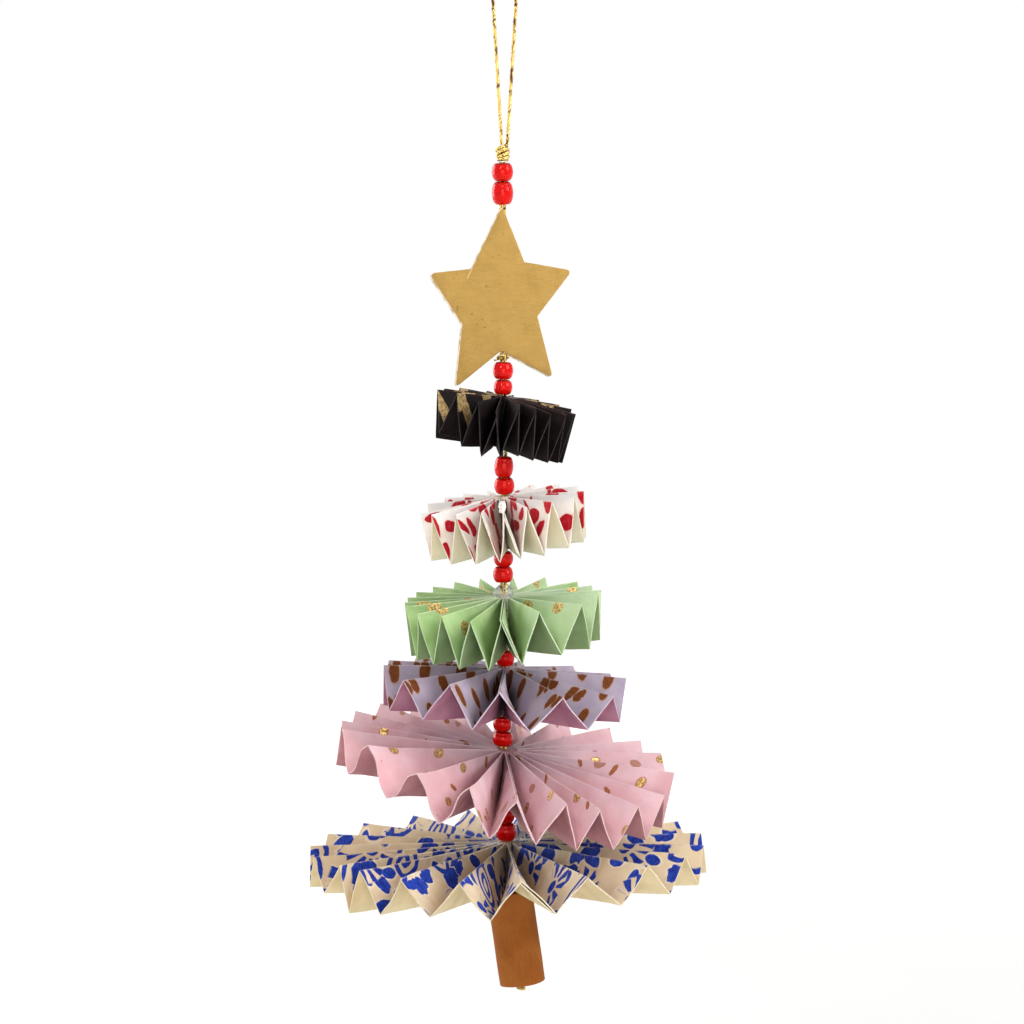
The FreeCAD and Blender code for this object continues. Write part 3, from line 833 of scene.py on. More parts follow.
star_front = cut_star("star_front_card", -1, (0, 0, 0))
star_back = cut_star("star_back_card", 1, (-0.35, 0, -0.2))
print("star layers of", len(star_front.data.polygons), "and", len(star_back.data.polygons), "faces")

# %% Bend the card
for star, node in ((star_front, "star_front"), (star_back, "star_back")):
    make_uneven(star, 9 * MM, "Y", 0.12 * MM)
    smooth(star, 40)
    share(star, node, slot="gold_card")
print("card bent by up to 0.06 mm")

# %% [markdown]
# ## Gold paint and raw card
# The outer faces are painted matt gold.  The paint is mottled, with darker specks where dust
# was caught in it, and a short pale line at the upper left.  The cut edges and the glued
# sides show the pale board, a little gilded where the brush ran over.

# %% Gold paint
PALE_LINE_AT = (-6.3, 0, -59.6)


def gold_paint():
    f = Finish("gold_paint_on_card")
    place = f.here()
    mottle = f.noise(place, 0.30, 4.0, 0.62)
    brushed = f.noise(place, 1.1, 3.0, 0.6, stretch=(0.5, 1, 2.2))
    grain = f.noise(place, 4.6, 2.0, 0.6)
    speck = f.noise(place, 1.1, 1.0, 0.3).step(0.755, 0.79)
    pit = f.noise(place, 2.1, 1.0, 0.3).step(0.775, 0.81)
    pale_line = Place(f, place.vector("SUBTRACT", PALE_LINE_AT), axes="XZ")
    along = abs(pale_line.x * 0.44 + pale_line.y * 0.90).step(1.15, 0.95)
    across = abs(pale_line.x * 0.90 - pale_line.y * 0.44).step(0.16, 0.07)
    colour = f.coats((0.385, 0.225, 0.052), (mottle.step(0.25, 0.75), (0.455, 0.275, 0.072)),
                     (brushed.step(0.35, 0.75) * 0.3, (0.50, 0.32, 0.095)),
                     (grain.step(0.5, 0.8) * 0.3, (0.58, 0.40, 0.14)),
                     (grain.step(0.5, 0.25) * 0.25, (0.26, 0.145, 0.032)),
                     (speck * 0.6, (0.20, 0.12, 0.035)), (pit * 0.8, (0.09, 0.05, 0.018)),
                     (across * along * 0.6, (0.72, 0.52, 0.26)))
    return f.surface(Base_Color=colour, Metallic=0.2, Roughness=0.58 + mottle * 0.15,
                     Specular_IOR_Level=0.2, Normal=f.bump(grain + brushed, 0.25, 0.12))


def raw_card():
    f = Finish("raw_card_edge")
    place = f.here()
    fibre = f.noise(place, 2.5, 3.0, 0.6, stretch=(1, 6, 1))
    gilt = f.noise(place, 0.5, 2.0).step(0.45, 0.62)
    colour = f.coats((0.74, 0.64, 0.50), (fibre, (0.90, 0.84, 0.74)), (gilt * 0.5, (0.36, 0.22, 0.06)))
    return f.surface(Base_Color=colour, Roughness=0.85, Normal=f.bump(fibre, 0.3, 0.15))


coat((star_front, star_back), gold_paint(), raw_card())
for star, outward in ((star_front, -1), (star_back, 1)):
    for face in star.data.polygons:
        face.material_index = 0 if face.normal.y * outward > 0.75 else 1
print("gold paint and raw card on the star")

# %% [markdown]
# ## Folded fans
# A fan is one strip of paper, folded to and fro and closed into a ring.  At the cord its
# folds are gathered, so each pleat stands on edge; at the rim they spread into a zigzag.
# The folds stay straight and the pleats twist between them.  So the work starts from a
# ring of points, one for each fold.  Every second point goes down by the width of a pleat,
# the ring is extruded outward, and each fold of the rim is pulled to its own place.

# %% Sizes of the six fans
# hub: height of the upper folds at the cord, in millimetres; depth: width of a pleat
# roll: right side down; pitch: front down; droop: rim below the hub; tuck: lower folds in
# folds: azimuth of each upper fold at the rim, 0 at the front; lift: folds that stand higher
# curl: how far a pleat bows at its start and end, by number; wave: general unevenness
# hole: from the cord's middle to the folds round it
PAPER = 0.22
FANS = {
    "black": dict(
        hub=-82.96, radius=13.4, depth=9.6, roll=9.5, pitch=2, droop=3, tuck=0.4, hole=1.85, wave=0.25,
        folds=[-91, -45, -23, -6, 11, 25, 40, 59, 75, 90, 110, 130, 152, 174, 198, 224, 245],
        lift={0: -0.2, 1: 0.8, 2: 0.2, 3: -1.1, 4: 1.0, 5: 0.7, 8: -0.1, 9: -0.4, 16: -0.3}),
    "white": dict(
        hub=-101.95, radius=15.8, depth=10.0, roll=-7.5, pitch=3.5, droop=2, tuck=0.2, hole=1.88, wave=0.35,
        folds=[-57, -33, -14, 1, 18, 37, 61, 86, 110, 134, 156, 172, 191, 208, 224, 246, 269],
        lift={0: 0.2, 1: 0.2, 2: 0.4, 3: 0.5, 4: 0.2, 5: 0.2, 6: 0.3, 7: -0.3, 16: -0.9}),
    "green": dict(
        hub=-120.9, radius=19.0, depth=10.2, roll=-2.5, pitch=6.5, droop=2, tuck=0.5, hole=1.7, wave=0.35,
        folds=[-79, -59, -38, -19, -1, 21, 51, 72, 98, 116, 131, 154, 174, 194, 210, 226, 242, 256, 266],
        lift={0: 0.2, 1: 0.2, 2: 0.6, 3: 0.2, 4: 0.5, 5: 1.4, 6: 1.0, 7: 1.5, 8: 0.3, 18: -0.2}),
    "lilac": dict(
        hub=-134.8, radius=23.4, depth=9.2, roll=4, pitch=0, droop=3.5, tuck=0, hole=1.6, wave=0.3,
        folds=[-55, -26, -2, 28, 62, 94, 118, 145, 172, 200, 228, 255, 276],
        lift={0: -0.6, 1: 0.4, 2: 0.2, 3: -0.5, 4: -1.2, 5: 0.7, 11: 0.4, 12: 0.6}),
    "pink": dict(
        hub=-150.5, radius=32.4, depth=9.3, roll=8, pitch=7, droop=0, tuck=0.3, hole=2.02, wave=0.4,
        folds=[-54, -30, -11, 5, 21, 34, 51, 70, 82, 112, 126, 142, 160, 178, 196, 214, 232, 248, 263, 282],
        lift={0: 2.1, 1: 0.6, 2: 0.8, 3: -0.3, 5: -1.2, 6: -1.6, 7: -1.5, 8: 1.3, 19: 1.2},
        curl={0: (0.9, -0.5), 1: (-1.0, 1.1), 2: (0.6, -0.4), 3: (-0.7, 0.8), 39: (-0.9, 0.9),
              38: (0.7, -0.7), 37: (-0.6, 0.5), 5: (-0.3, 0.7)}),
    "cream": dict(
        hub=-168.5, radius=38.0, depth=8.9, roll=-1.5, pitch=0, droop=0.5, tuck=-0.2, hole=1.78, wave=0.5,
        folds=[-55, -46, -31, -13, 4, 23, 43, 62, 80, 99, 118, 136, 155, 174, 192, 210, 229, 248, 267, 285],
        lift={0: 0.7, 1: 0.3, 2: 0.2, 3: -0.2, 4: -0.3, 5: -0.2, 6: 0.3, 7: 0.3, 8: -0.2}),
}
print(len(FANS), "fans,", sum(len(size["folds"]) for size in FANS.values()), "upper folds")


# %% Where each fold ends
def hub_turn(size):
    """Azimuth of the first fold at the cord, where the folds are evenly spaced."""
    step = 360 / len(size["folds"])
    return sum(a - i * step for i, a in enumerate(size["folds"])) / len(size["folds"])


def rim_places(size):
    """Rim end of every fold in turn, upper and lower, before the fan is leaned."""
    folds, count = size["folds"], len(size["folds"])
    droop = radians(size["droop"])
    ahead = folds[1:] + [folds[0] + 360]
    stand = [sqrt(size["depth"] ** 2 - (2 * size["radius"] * sin(radians(b - a) / 4)) ** 2)
             for a, b in zip(folds, ahead)]
    highs = [size["lift"].get(i, 0) - size["radius"] * sin(droop) for i in range(count)]
    reach = size["radius"] * cos(droop)
    low_reach = reach - sum(stand) / count * sin(droop) - size["tuck"]
    places = []
    for i in range(count):
        low = (highs[i] + highs[(i + 1) % count]) / 2 - stand[i] * cos(droop)
        for azimuth, r, z in ((folds[i], reach, highs[i]), ((folds[i] + ahead[i]) / 2, low_reach, low)):
            a = radians(azimuth)
            places.append(Vector((r * sin(a), -r * cos(a), z)))
    return places


def fan_place(size):
    """The fan leans about the point of the cord that is halfway down its middle."""
    z = size["hub"] - size["depth"] / 2
    return (Matrix.Translation(Vector((thread_x(z), 0, z)) * MM)
            @ Matrix.Rotation(radians(size["roll"]), 4, "Y")
            @ Matrix.Rotation(radians(size["pitch"]), 4, "X")
            @ Matrix.Translation((0, 0, size["depth"] / 2 * MM)))


print("first rim place of the black fan:", tuple(round(v, 1) for v in rim_places(FANS["black"])[0]))

# %% Fold the strip
MAP_MM = 100               # length of paper that is 1 in the UV map


def fold_strip(name, size):
    """The folded strip, without thickness, with its flat length and width as a UV map."""
    count, turn = 2 * len(size["folds"]), hub_turn(size)
    fan = start_ring("folded_" + name, count, size["hole"] * MM, calc_uvs=False,
                     rotation=(0, 0, radians(turn - 180)))
    pick(fan, lambda v: v.index % 2 == 1)
    bpy.ops.transform.translate(value=(0, 0, -size["depth"] * MM))
    pick_all()
    draw_edges((0, 0, 0))
    widen(size["radius"] / size["hole"])
    fold, at_rim = {}, {}
    for v in edit_mesh(fan).verts:
        azimuth = degrees(atan2(v.co.x, -v.co.y)) - turn
        fold[v.index] = round(azimuth / 360 * count) % count
        at_rim[v.index] = hypot(v.co.x, v.co.y) > size["radius"] * 0.8 * MM
    goals = rim_places(size)
    for index in fold:
        if at_rim[index]:
            move_point(fan, index, goals[fold[index]] * MM)
    mesh = edit_mesh(fan)
    strip = mesh.loops.layers.uv.new("strip")
    for face in mesh.faces:
        closing = {0, count - 1} <= {fold[v.index] for v in face.verts}
        for loop in face.loops:
            along = fold[loop.vert.index]
            if closing and along == 0:
                along = count
            out = size["radius"] if at_rim[loop.vert.index] else 0
            loop[strip].uv = (along * size["depth"] / MAP_MM, out / MAP_MM)
    bmesh.update_edit_mesh(fan.data)
    return fan


print("a map unit is", MAP_MM, "mm of paper")


# %% Lap the seam
def lap_seam(fan, size):
    """The end of the strip is glued under its start, so one pleat is doubled."""
    seam = 2 * min(range(len(size["folds"])), key=lambda i: abs(size["folds"][i]))
    middle = (seam + 0.5) * size["depth"] / MAP_MM
    strip = edit_mesh(fan).loops.layers.uv["strip"]
    pick(fan, lambda f: abs(sum(l[strip].uv.x for l in f.loops) / len(f.loops) - middle) < 0.002,
         "faces")
    bpy.ops.mesh.duplicate(mode=1)
    mesh = edit_mesh(fan)
    strip = mesh.loops.layers.uv["strip"]
    lap = next(face for face in mesh.faces if face.select)
    clear_of_paper = 1.04 * PAPER * MM
    under = lap.normal * (-clear_of_paper if lap.normal.z > 0 else clear_of_paper)
    ends = {loop.vert.index: (loop[strip].uv.x > middle, loop.vert.co.copy()) for loop in lap.loops}
    kept = [place for far, place in ends.values() if not far]
    for index, (far, place) in ends.items():
        beside = min(kept, key=lambda other: (other - place).length)
        pull = (beside - place) * 0.12 if far else Vector()      # it ends short of the next fold
        move_point(fan, index, place + pull + under)


print("the lap lies", PAPER, "mm lower")


# %% Bow the pleats
def crease_and_bow(fan, size, seed):
    """Cut the pleats into small faces, then bow them as handled paper is bowed."""
    pick_all()
    bpy.ops.mesh.subdivide(number_cuts=9)
    face_outward()
    if sum(face.normal.z * face.calc_area() for face in edit_mesh(fan).faces) < 0:
        bpy.ops.mesh.flip_normals()
    chance = random.Random(seed)
    goals = rim_places(size)
    for pleat, (a, b) in enumerate(zip(goals, goals[1:] + goals[:1])):
        out = Vector((a.x + b.x, a.y + b.y, 0)).normalized()
        normal = (b - a).normalized().cross(out).normalized()
        if normal.z < 0:
            normal = -normal
        even = chance.uniform(-1, 1) * size["wave"]
        bows = size.get("curl", {}).get(pleat, (even, even * chance.uniform(0.2, 1)))
        for share_along, bow in zip((0.3, 0.7), bows):
            spot = a.lerp(b, share_along) * MM
            nearest = min(edit_mesh(fan).verts, key=lambda v: (v.co - spot).length).index
            pick(fan, lambda v: v.index == nearest)
            bpy.ops.transform.translate(value=normal * bow * MM, use_proportional_edit=True,
                                        proportional_edit_falloff="SMOOTH",
                                        proportional_size=0.55 * size["depth"] * MM,
                                        use_proportional_connected=True)
    close_mesh()


fans = {}
for seed, (name, size) in enumerate(FANS.items(), 20):
    fans[name] = fold_strip(name, size)
    lap_seam(fans[name], size)
    crease_and_bow(fans[name], size, seed)
    print(name, "fan:", len(size["folds"]) * 2, "pleats of", size["depth"], "mm,",
          len(fans[name].data.polygons), "faces")

# %% [markdown]
# ## Thickness
# The strip has had no thickness so far.  Solidify gives it that, downward, and marks
# three kinds of face: the printed side, the plain underside, and the cut edge between.
# Before that, a slow ripple that fades toward the cord stops the paper looking like metal.
# Just under an upper fold, and close to the cord, two pleats lie nearer than two sheets of
# paper are thick.  A vertex group makes them thinner there, so that neither comes through
# the other.

# %% Room between the pleats
def allow_for_room(fan, size):
    """Vertex group: the share of the paper's thickness that fits between two pleats."""
    strip = fan.data.uv_layers["strip"].data
    group = fan.vertex_groups.new(name="room")
    for loop in fan.data.loops:
        vertex = fan.data.vertices[loop.vertex_index]
        turns = strip[loop.index].uv.x * MAP_MM / (2 * size["depth"])
        low = 2 * abs((turns + 0.5) % 1 - 0.5)
        out = hypot(vertex.co.x, vertex.co.y) / MM
        half_gap = pi * out * low / (2 * len(size["folds"]))
        on_fold = low < 0.02
        room = 1.0 if on_fold else min(1.0, 0.95 * half_gap / PAPER)
        group.add([vertex.index], room, "REPLACE")
    return sum(g.weight < 1 for v in fan.data.vertices for g in v.groups if g.group == group.index)


print("paper is", PAPER, "mm thick where it has room")

# %% Thickness and lean
for name, fan in fans.items():
    size, node = FANS[name], "fan_" + name
    group = fan.vertex_groups.new(name="outward")
    for vertex in fan.data.vertices:
        out = hypot(vertex.co.x, vertex.co.y) / (size["radius"] * MM)
        group.add([vertex.index], max(0.0, min(1.0, (out - 0.3) / 0.7)), "REPLACE")
    make_uneven(fan, 6 * MM, "NORMAL", size["wave"] * 0.7 * MM, vertex_group="outward")
    thinned = allow_for_room(fan, size)
    for side in ("printed side", "plain underside", "cut edge"):
        fan.data.materials.append(None)
    finish_with(fan, "SOLIDIFY", thickness=PAPER * MM, offset=-1, use_even_offset=False,
                vertex_group="room", material_offset=1, material_offset_rim=2)
    smooth(fan, 32)
    fan.matrix_world = fan_place(size)
    settle(fan)
    share(fan, node, slot="paper_" + name)
    low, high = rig.box(node)
    corners = [Vector(c) for c in fan.bound_box]
    past = [max(low[i] - min(c[i] for c in corners), max(c[i] for c in corners) - high[i]) / MM
            for i in range(3)]
    print(name, "fan: thinner at", thinned, "points; out of its part by", [round(v, 2) for v in past])

# %% [markdown]
# ## Paper, printed on one side
# Each strip is handmade paper with a pattern on its upper side only.  The underside is plain
# and the cut edge is pale.  The patterns follow the flat strip, in millimetres along it and
# outward, so they bend with the pleats and jump at the folds, as a print does.
# Scattered motifs come from Voronoi cells: each cell gives a middle, and the place is
# measured from there and turned by the cell's own chance number.

# %% Helpers for printed paper
def on_strip(f):
    return f.add("UVMap", uv_map="strip").scaled(MAP_MM)


def hand_cut(f, place, amount=0.35):
    """The place, shifted a little, so that printed outlines aren't exact."""
    wander = f.add("TexNoise", {"Vector": place, "Scale": 0.55, "Detail": 2.0}).out("Color")
    return place.vector("ADD", wander.vector("SUBTRACT", (0.5, 0.5, 0.5)).scaled(2 * amount))


def scatter(f, place, apart, loose, shift, turn=1.0, first=0.0):
    """Motifs about this far apart, which turn by a share of a full circle from the first."""
    place = place.vector("ADD", shift)
    seen = f.add("TexVoronoi", {"Vector": place, "Scale": 1 / apart, "Randomness": loose},
                 voronoi_dimensions="2D")
    chance = f.add("SeparateColor", {0: seen.out("Color")})
    away = place.vector("SUBTRACT", seen.out("Position"))
    angle = chance.out("Red") * (2 * pi * turn) + 2 * pi * first
    return Place(f, f.add("VectorRotate", {"Vector": away, "Angle": angle}, rotation_type="Z_AXIS"), chance)


def inked(outline, soft=0.05):
    """1 inside the outline."""
    return outline.step(1 + soft, 1 - soft)


def from_middle(turns):
    """0 at a whole number of turns, 0.5 halfway to the next."""
    return abs((turns + 0.5).maths("FRACT") - 0.5)


def near_fold(f, place, depth, width):
    """1 on a fold of the paper, 0 further than width from it."""
    return (from_middle(Place(f, place).x / depth) * depth).step(width, 0.0)


def low_in_pleat(f, place, depth):
    """0 on the upper folds, 1 near the lower ones."""
    return (from_middle(Place(f, place).x / (2 * depth)) * 2).step(0.05, 0.65)


def beside_cord(f, place):
    """1 at the cord, where glue soaks the paper and shade is painted, 0 from about 10 mm out."""
    return Place(f, hand_cut(f, place, 0.8)).y.step(10.5, 2.5)


def fibres(f, place):
    return f.noise(place, 1.1, 5.0, 0.68, stretch=(1.0, 2.6, 1.0))


print("helpers for printed paper")

# %% [markdown]
# ## The six prints
# Each print is a function that returns the colour of the paper's upper side.  Gold is real
# foil on the black, green and pink papers, so those prints also return where the gold is,
# how metallic and how rough, and it breaks into glints.  A thin pale line round a blot is
# bare paper, where the colour drew back from the edge of the block that printed it.

# %% Black with gold
def print_black(f, place):
    dust = f.noise(place, 0.35, 3.0)
    ground = f.blend(dust.step(0.3, 0.7), (0.0040, 0.0018, 0.0016), (0.0095, 0.0052, 0.0055))
    edge = hand_cut(f, place, 0.5)
    spot = Place(f, edge)
    slant = ((spot.x * 0.55 + spot.y) / 8.2).maths("FRACT")
    band = slant.step(0.60, 0.63) * slant.step(0.97, 0.94)
    blocks = scatter(f, edge, 8.5, 0.75, (31, 7, 0), 0.25)
    block = inked(abs(blocks.x).either(abs(blocks.y) * 0.6) / 1.5) * blocks.one.step(0.62, 0.64)
    along = Place(f, place).x
    gilt_ends = along.step(30, 26).either(along.step(180, 184))
    flaked = f.noise(place, 1.4, 3.0, 0.75).step(0.34, 0.46)
    gold = band.either(block) * gilt_ends * flaked
    glint = f.noise(place, 1.2, 3.0, 0.65)
    leaf = f.blend(glint.step(0.35, 0.68), (0.26, 0.165, 0.065), (0.52, 0.37, 0.17))
    return dict(colour=f.blend(gold * 0.92, ground, leaf), rough=f.noise(place, 1.0) * 0.2 + 0.5,
                gold=gold, metal=0.35, gold_rough=0.6 - glint * 0.2)


print("first print")


# %% White with petals
def print_white(f, place):
    ground = f.clouded(place, 0.2, (0.82, 0.75, 0.68), (0.90, 0.84, 0.77))
    edge = hand_cut(f, place, 0.3)
    spray = scatter(f, edge, 9.8, 0.5, (3, 4, 0))
    reach, angle = spray.polar()
    third = ((angle * 3 + 0.5).maths("FRACT") - 0.5) * (2 * pi / 3)
    out, side = reach * third.maths("COSINE") - 2.7, reach * third.maths("SINE")
    long, wide = out / 2.4, side / (1.5 - out * 0.22)
    petal = (long * long + wide * wide).maths("SQRT")
    petal = petal + (angle + spray.one).maths("FRACT").step(0.70, 0.71) * 3
    drops = scatter(f, edge, 6.2, 0.6, (17, 9, 0))
    drop = drops.oval(1.1, 2.0, taper=0.4)
    clear = petal.step(1.3, 1.7) * drops.one.step(0.42, 0.44)
    ink = inked(petal).either(inked(drop) * clear)
    blush = petal.step(1.35, 0.95).either(drop.step(1.35, 0.95) * clear) * 0.35
    red = f.blend(f.noise(place, 0.8), (0.36, 0.001, 0.008), (0.56, 0.006, 0.022))
    return dict(colour=f.coats(ground, (blush, (0.86, 0.46, 0.43)), (ink, red)))


print("two prints")


# %% Green with gold dots
def gold_glitter(f, place):
    """Gold foil that has been crumpled: its colour, and its roughness."""
    glint = f.noise(place, 1.9, 2.0, 0.7)
    colour = f.blend(glint.step(0.4, 0.62), (0.30, 0.17, 0.045), (0.78, 0.54, 0.20))
    return colour, 0.55 - glint.step(0.35, 0.7) * 0.25


def print_green(f, place):
    ground = f.clouded(place, 0.16, (0.30, 0.460, 0.180), (0.42, 0.585, 0.275))
    along = Place(f, place).x
    # a paler zone over the pleats on the right: partly a pale patch in the paper, partly painted light from the right
    pale_patch_and_painted_light = along.step(70, 130) * along.step(250, 190) * f.noise(place, 0.09).step(0.3, 0.6)
    ground = f.blend(pale_patch_and_painted_light * 0.55, ground, (0.66, 0.78, 0.56))
    dots = scatter(f, hand_cut(f, place, 0.3), 8.6, 0.6, (2, 6, 0))
    dot, here = dots.oval(1.3, 1.5), dots.one.step(0.28, 0.30)
    gold = inked(dot, 0.08) * here * f.noise(place, 1.6).step(0.34, 0.46)
    halo = dot.step(1.35, 1.0) * here * 0.35
    leaf, rough = gold_glitter(f, place)
    return dict(colour=f.coats(ground, (halo, (0.56, 0.58, 0.32)), (gold, leaf)),
                gold=gold, metal=0.6, gold_rough=rough)


print("three prints")


# %% Lilac with brown ovals
def print_lilac(f, place):
    ground = f.clouded(place, 0.14, (0.37, 0.305, 0.40), (0.475, 0.395, 0.49))
    seeds, ragged = (scatter(f, hand_cut(f, place, amount), 6.5, 0.5, (0, 0, 0), turn=0.12, first=-0.06)
                     for amount in (0.35, 0.8))
    oval = seeds.oval(2.3, 1.08)
    pair = ragged.oval(1.9, 0.95, (0, -0.9)).maths("MINIMUM", ragged.oval(1.7, 0.85, (0.5, 1.0)))
    blot = f.choose(seeds.one.step(0.6, 0.61), oval, pair)
    brown = f.blend(f.noise(place, 0.9), (0.115, 0.026, 0.004), (0.22, 0.065, 0.013))
    rim = blot.step(1.22, 1.12) * 0.8
    return dict(colour=f.coats(ground, (rim, (0.44, 0.27, 0.17)), (inked(blot, 0.06), brown)))


print("four prints")


# %% Pink with gold dots
def print_pink(f, place):
    ground = f.clouded(place, 0.12, (0.675, 0.405, 0.435), (0.775, 0.53, 0.565))
    dots = scatter(f, hand_cut(f, place, 0.35), 8.2, 0.65, (2, 3, 0))
    dot = dots.oval(0.85, 1.05) + dots.one.step(0.30, 0.28)
    gold = inked(dot, 0.1) * f.noise(place, 1.6).step(0.30, 0.46) * dots.two.step(0.3, 0.34)
    seeds = scatter(f, hand_cut(f, place, 0.35), 7.0, 0.6, (23, 11, 0))
    seed = inked(seeds.oval(0.5, 1.2), 0.1) * seeds.one.step(0.62, 0.64) * dot.step(1.8, 2.1)
    rust = f.blend(f.noise(place, 0.8), (0.26, 0.075, 0.03), (0.46, 0.17, 0.06))
    rims = dot.step(1.28, 1.12) * 0.75
    leaf, rough = gold_glitter(f, place)
    return dict(colour=f.coats(ground, (rims.either(seed), rust), (gold, leaf)),
                gold=gold, metal=0.65, gold_rough=rough)


print("five prints")


# %% Cream with blue
def print_cream(f, place):
    ground = f.clouded(place, 0.13, (0.64, 0.50, 0.315), (0.76, 0.62, 0.42))
    edge = hand_cut(f, place, 0.35)
    large = scatter(f, edge, 14.0, 0.4, (1, 6, 0), 0.3)
    reach, angle = large.polar()
    spokes = (angle * 11).maths("FRACT")
    rays = (spokes.step(0.20, 0.27) * spokes.step(0.84, 0.76) * reach.step(2.0, 2.2)
            * (reach + spokes * 1.4).step(6.3, 6.0) * angle.step(0.42, 0.45)).either(reach.step(1.45, 1.3))
    across = abs(large.x) + 1.2
    point = (across * across + large.y * large.y * 0.55).maths("SQRT")
    waves = ((point - 1.2) / 1.75).maths("FRACT")
    arches = waves.step(0.36, 0.44) * waves.step(0.97, 0.90) * point.step(5.0, 4.8)
    big = f.choose(large.two.step(0.60, 0.61), rays, arches)
    small = scatter(f, edge, 6.1, 0.6, (13, 21, 0))
    shape = f.choose(small.one.step(0.5, 0.51), small.oval(1.45, 2.75, taper=0.42), small.oval(1.15, 1.9))
    clots = scatter(f, hand_cut(f, place, 1.5), 6.4, 0.8, (9, 5, 0))
    clot = clots.oval(1.9, 2.2) + f.noise(place, 0.06, 1.0).step(0.52, 0.47) * 3
    shape = shape.maths("MINIMUM", clot)
    room = reach.step(5.0, 5.5)
    ink = big.either(inked(shape) * room)
    bare = (shape.step(1.34, 1.18) * room).either(reach.step(5.2, 4.9) * 0.3)
    blue = f.blend(f.noise(place, 0.7, 3.0).step(0.35, 0.7), (0.006, 0.028, 0.28), (0.014, 0.062, 0.46))
    return dict(colour=f.coats(ground, (bare * 0.6, (0.82, 0.74, 0.60)), (ink, blue)))


print("six prints")

# %% [markdown]
# ## Three sides of each paper
# The printed side adds to its print what use has done: the ink is rubbed off along the
# folds, and the paper's fibres give a fine bump.  The plain underside shows the fibres and a
# little of the print's dampness.  Beside the cord both sides darken, partly from the glue
# that soaks them and partly as painted shade, which on the printed side lies low in the
# pleats.  The cut edge is pale, as torn or scissored fibres are.

# %% Colours of the papers
# worn: rubbed folds; under, edge: dark and light
# soaked: beside the cord, where glue and painted shade darken the paper; above: how much of that the printed side
# takes on
PAPERS = {
    "black": dict(draw=print_black, worn=(0.026, 0.018, 0.019), soaked=(0.002, 0.001, 0.001), above=0.6,
                  under=((0.005, 0.003, 0.003), (0.014, 0.009, 0.010)),
                  edge=((0.011, 0.008, 0.008), (0.040, 0.031, 0.031))),
    "white": dict(draw=print_white, worn=(0.86, 0.80, 0.74), soaked=(0.74, 0.67, 0.58), above=0.3,
                  under=((0.70, 0.63, 0.47), (0.80, 0.74, 0.59)),
                  edge=((0.68, 0.61, 0.50), (0.82, 0.77, 0.67))),
    "green": dict(draw=print_green, worn=(0.54, 0.66, 0.45), soaked=(0.27, 0.40, 0.17), above=0.4,
                  under=((0.22, 0.33, 0.14), (0.32, 0.44, 0.22)),
                  edge=((0.40, 0.52, 0.30), (0.58, 0.68, 0.48))),
    "lilac": dict(draw=print_lilac, worn=(0.56, 0.49, 0.58), soaked=(0.043, 0.020, 0.030), above=0.85,
                  under=((0.36, 0.17, 0.25), (0.50, 0.27, 0.36)),
                  edge=((0.46, 0.36, 0.44), (0.66, 0.56, 0.64))),
    "pink": dict(draw=print_pink, worn=(0.82, 0.60, 0.62), soaked=(0.60, 0.335, 0.355), above=0.35,
                 under=((0.46, 0.22, 0.24), (0.60, 0.32, 0.34)),
                 edge=((0.60, 0.38, 0.40), (0.76, 0.57, 0.58))),
    "cream": dict(draw=print_cream, worn=(0.80, 0.71, 0.56), soaked=(0.62, 0.52, 0.36), above=0.3,
                  under=((0.60, 0.49, 0.29), (0.74, 0.62, 0.40)),
                  edge=((0.60, 0.50, 0.33), (0.76, 0.67, 0.51))),
}
# thin paper lets some light through, reddest furthest
THROUGH_PAPER = dict(Subsurface_Weight=0.5, Subsurface_Radius=(1.0, 0.8, 0.6),
                     Subsurface_Scale=0.5 * MM)
print(len(PAPERS), "papers")


# %% Paper materials
def printed_side(name, paper):
    f = Finish("paper_" + name + "_printed")
    place, depth = on_strip(f), FANS[name]["depth"]
    look = paper["draw"](f, place)
    fibre = fibres(f, place)
    rub = near_fold(f, place, depth, 0.34) * f.noise(place, 0.8, 3.0).step(0.36, 0.6)
    # glue soak and painted shade: beside the cord and low in the pleats the printed side darkens
    soak_and_shade = beside_cord(f, place) * low_in_pleat(f, place, depth)
    colour = f.coats(look["colour"], (fibre.step(0.45, 0.8) * 0.10, paper["worn"]),
                     (rub * 0.35, paper["worn"]), (soak_and_shade * paper["above"], paper["soaked"]))
    rough, metal = look.get("rough") or fibre * 0.2 + 0.6, 0.0
    if "gold" in look:
        rough = f.choose(look["gold"], rough, look["gold_rough"])
        metal = look["gold"] * look["metal"]
    crumple = f.noise(place, 0.22) * 2.4 + fibre
    return f.surface(Base_Color=colour, Roughness=rough, Metallic=metal, Specular_IOR_Level=0.12,
                     Normal=f.bump(crumple, 0.5, 0.14), **THROUGH_PAPER)


def plain_side(name, paper):
    f = Finish("paper_" + name + "_plain")
    place, depth = on_strip(f), FANS[name]["depth"]
    fibre = fibres(f, place)
    dark, light = paper["under"]
    # glue soak and painted shade: the underside darkens beside the cord
    colour = f.coats(dark, (f.noise(place, 0.13, 3.0).step(0.32, 0.68), light),
                     (fibre.step(0.4, 0.75) * 0.3, light), (near_fold(f, place, depth, 0.3) * 0.3, dark),
                     (beside_cord(f, place) * 0.9, paper["soaked"]))
    return f.surface(Base_Color=colour, Roughness=fibre * 0.15 + 0.72, Specular_IOR_Level=0.1,
                     Normal=f.bump(fibre, 0.4, 0.1), **THROUGH_PAPER)


def cut_edge(name, paper):
    f = Finish("paper_" + name + "_edge")
    fibre = f.noise(f.here(), 2.4, 3.0, 0.65)
    return f.surface(Base_Color=f.blend(fibre.step(0.3, 0.7), *paper["edge"]), Roughness=0.85,
                     Specular_IOR_Level=0.2, Normal=f.bump(fibre, 0.3, 0.1))


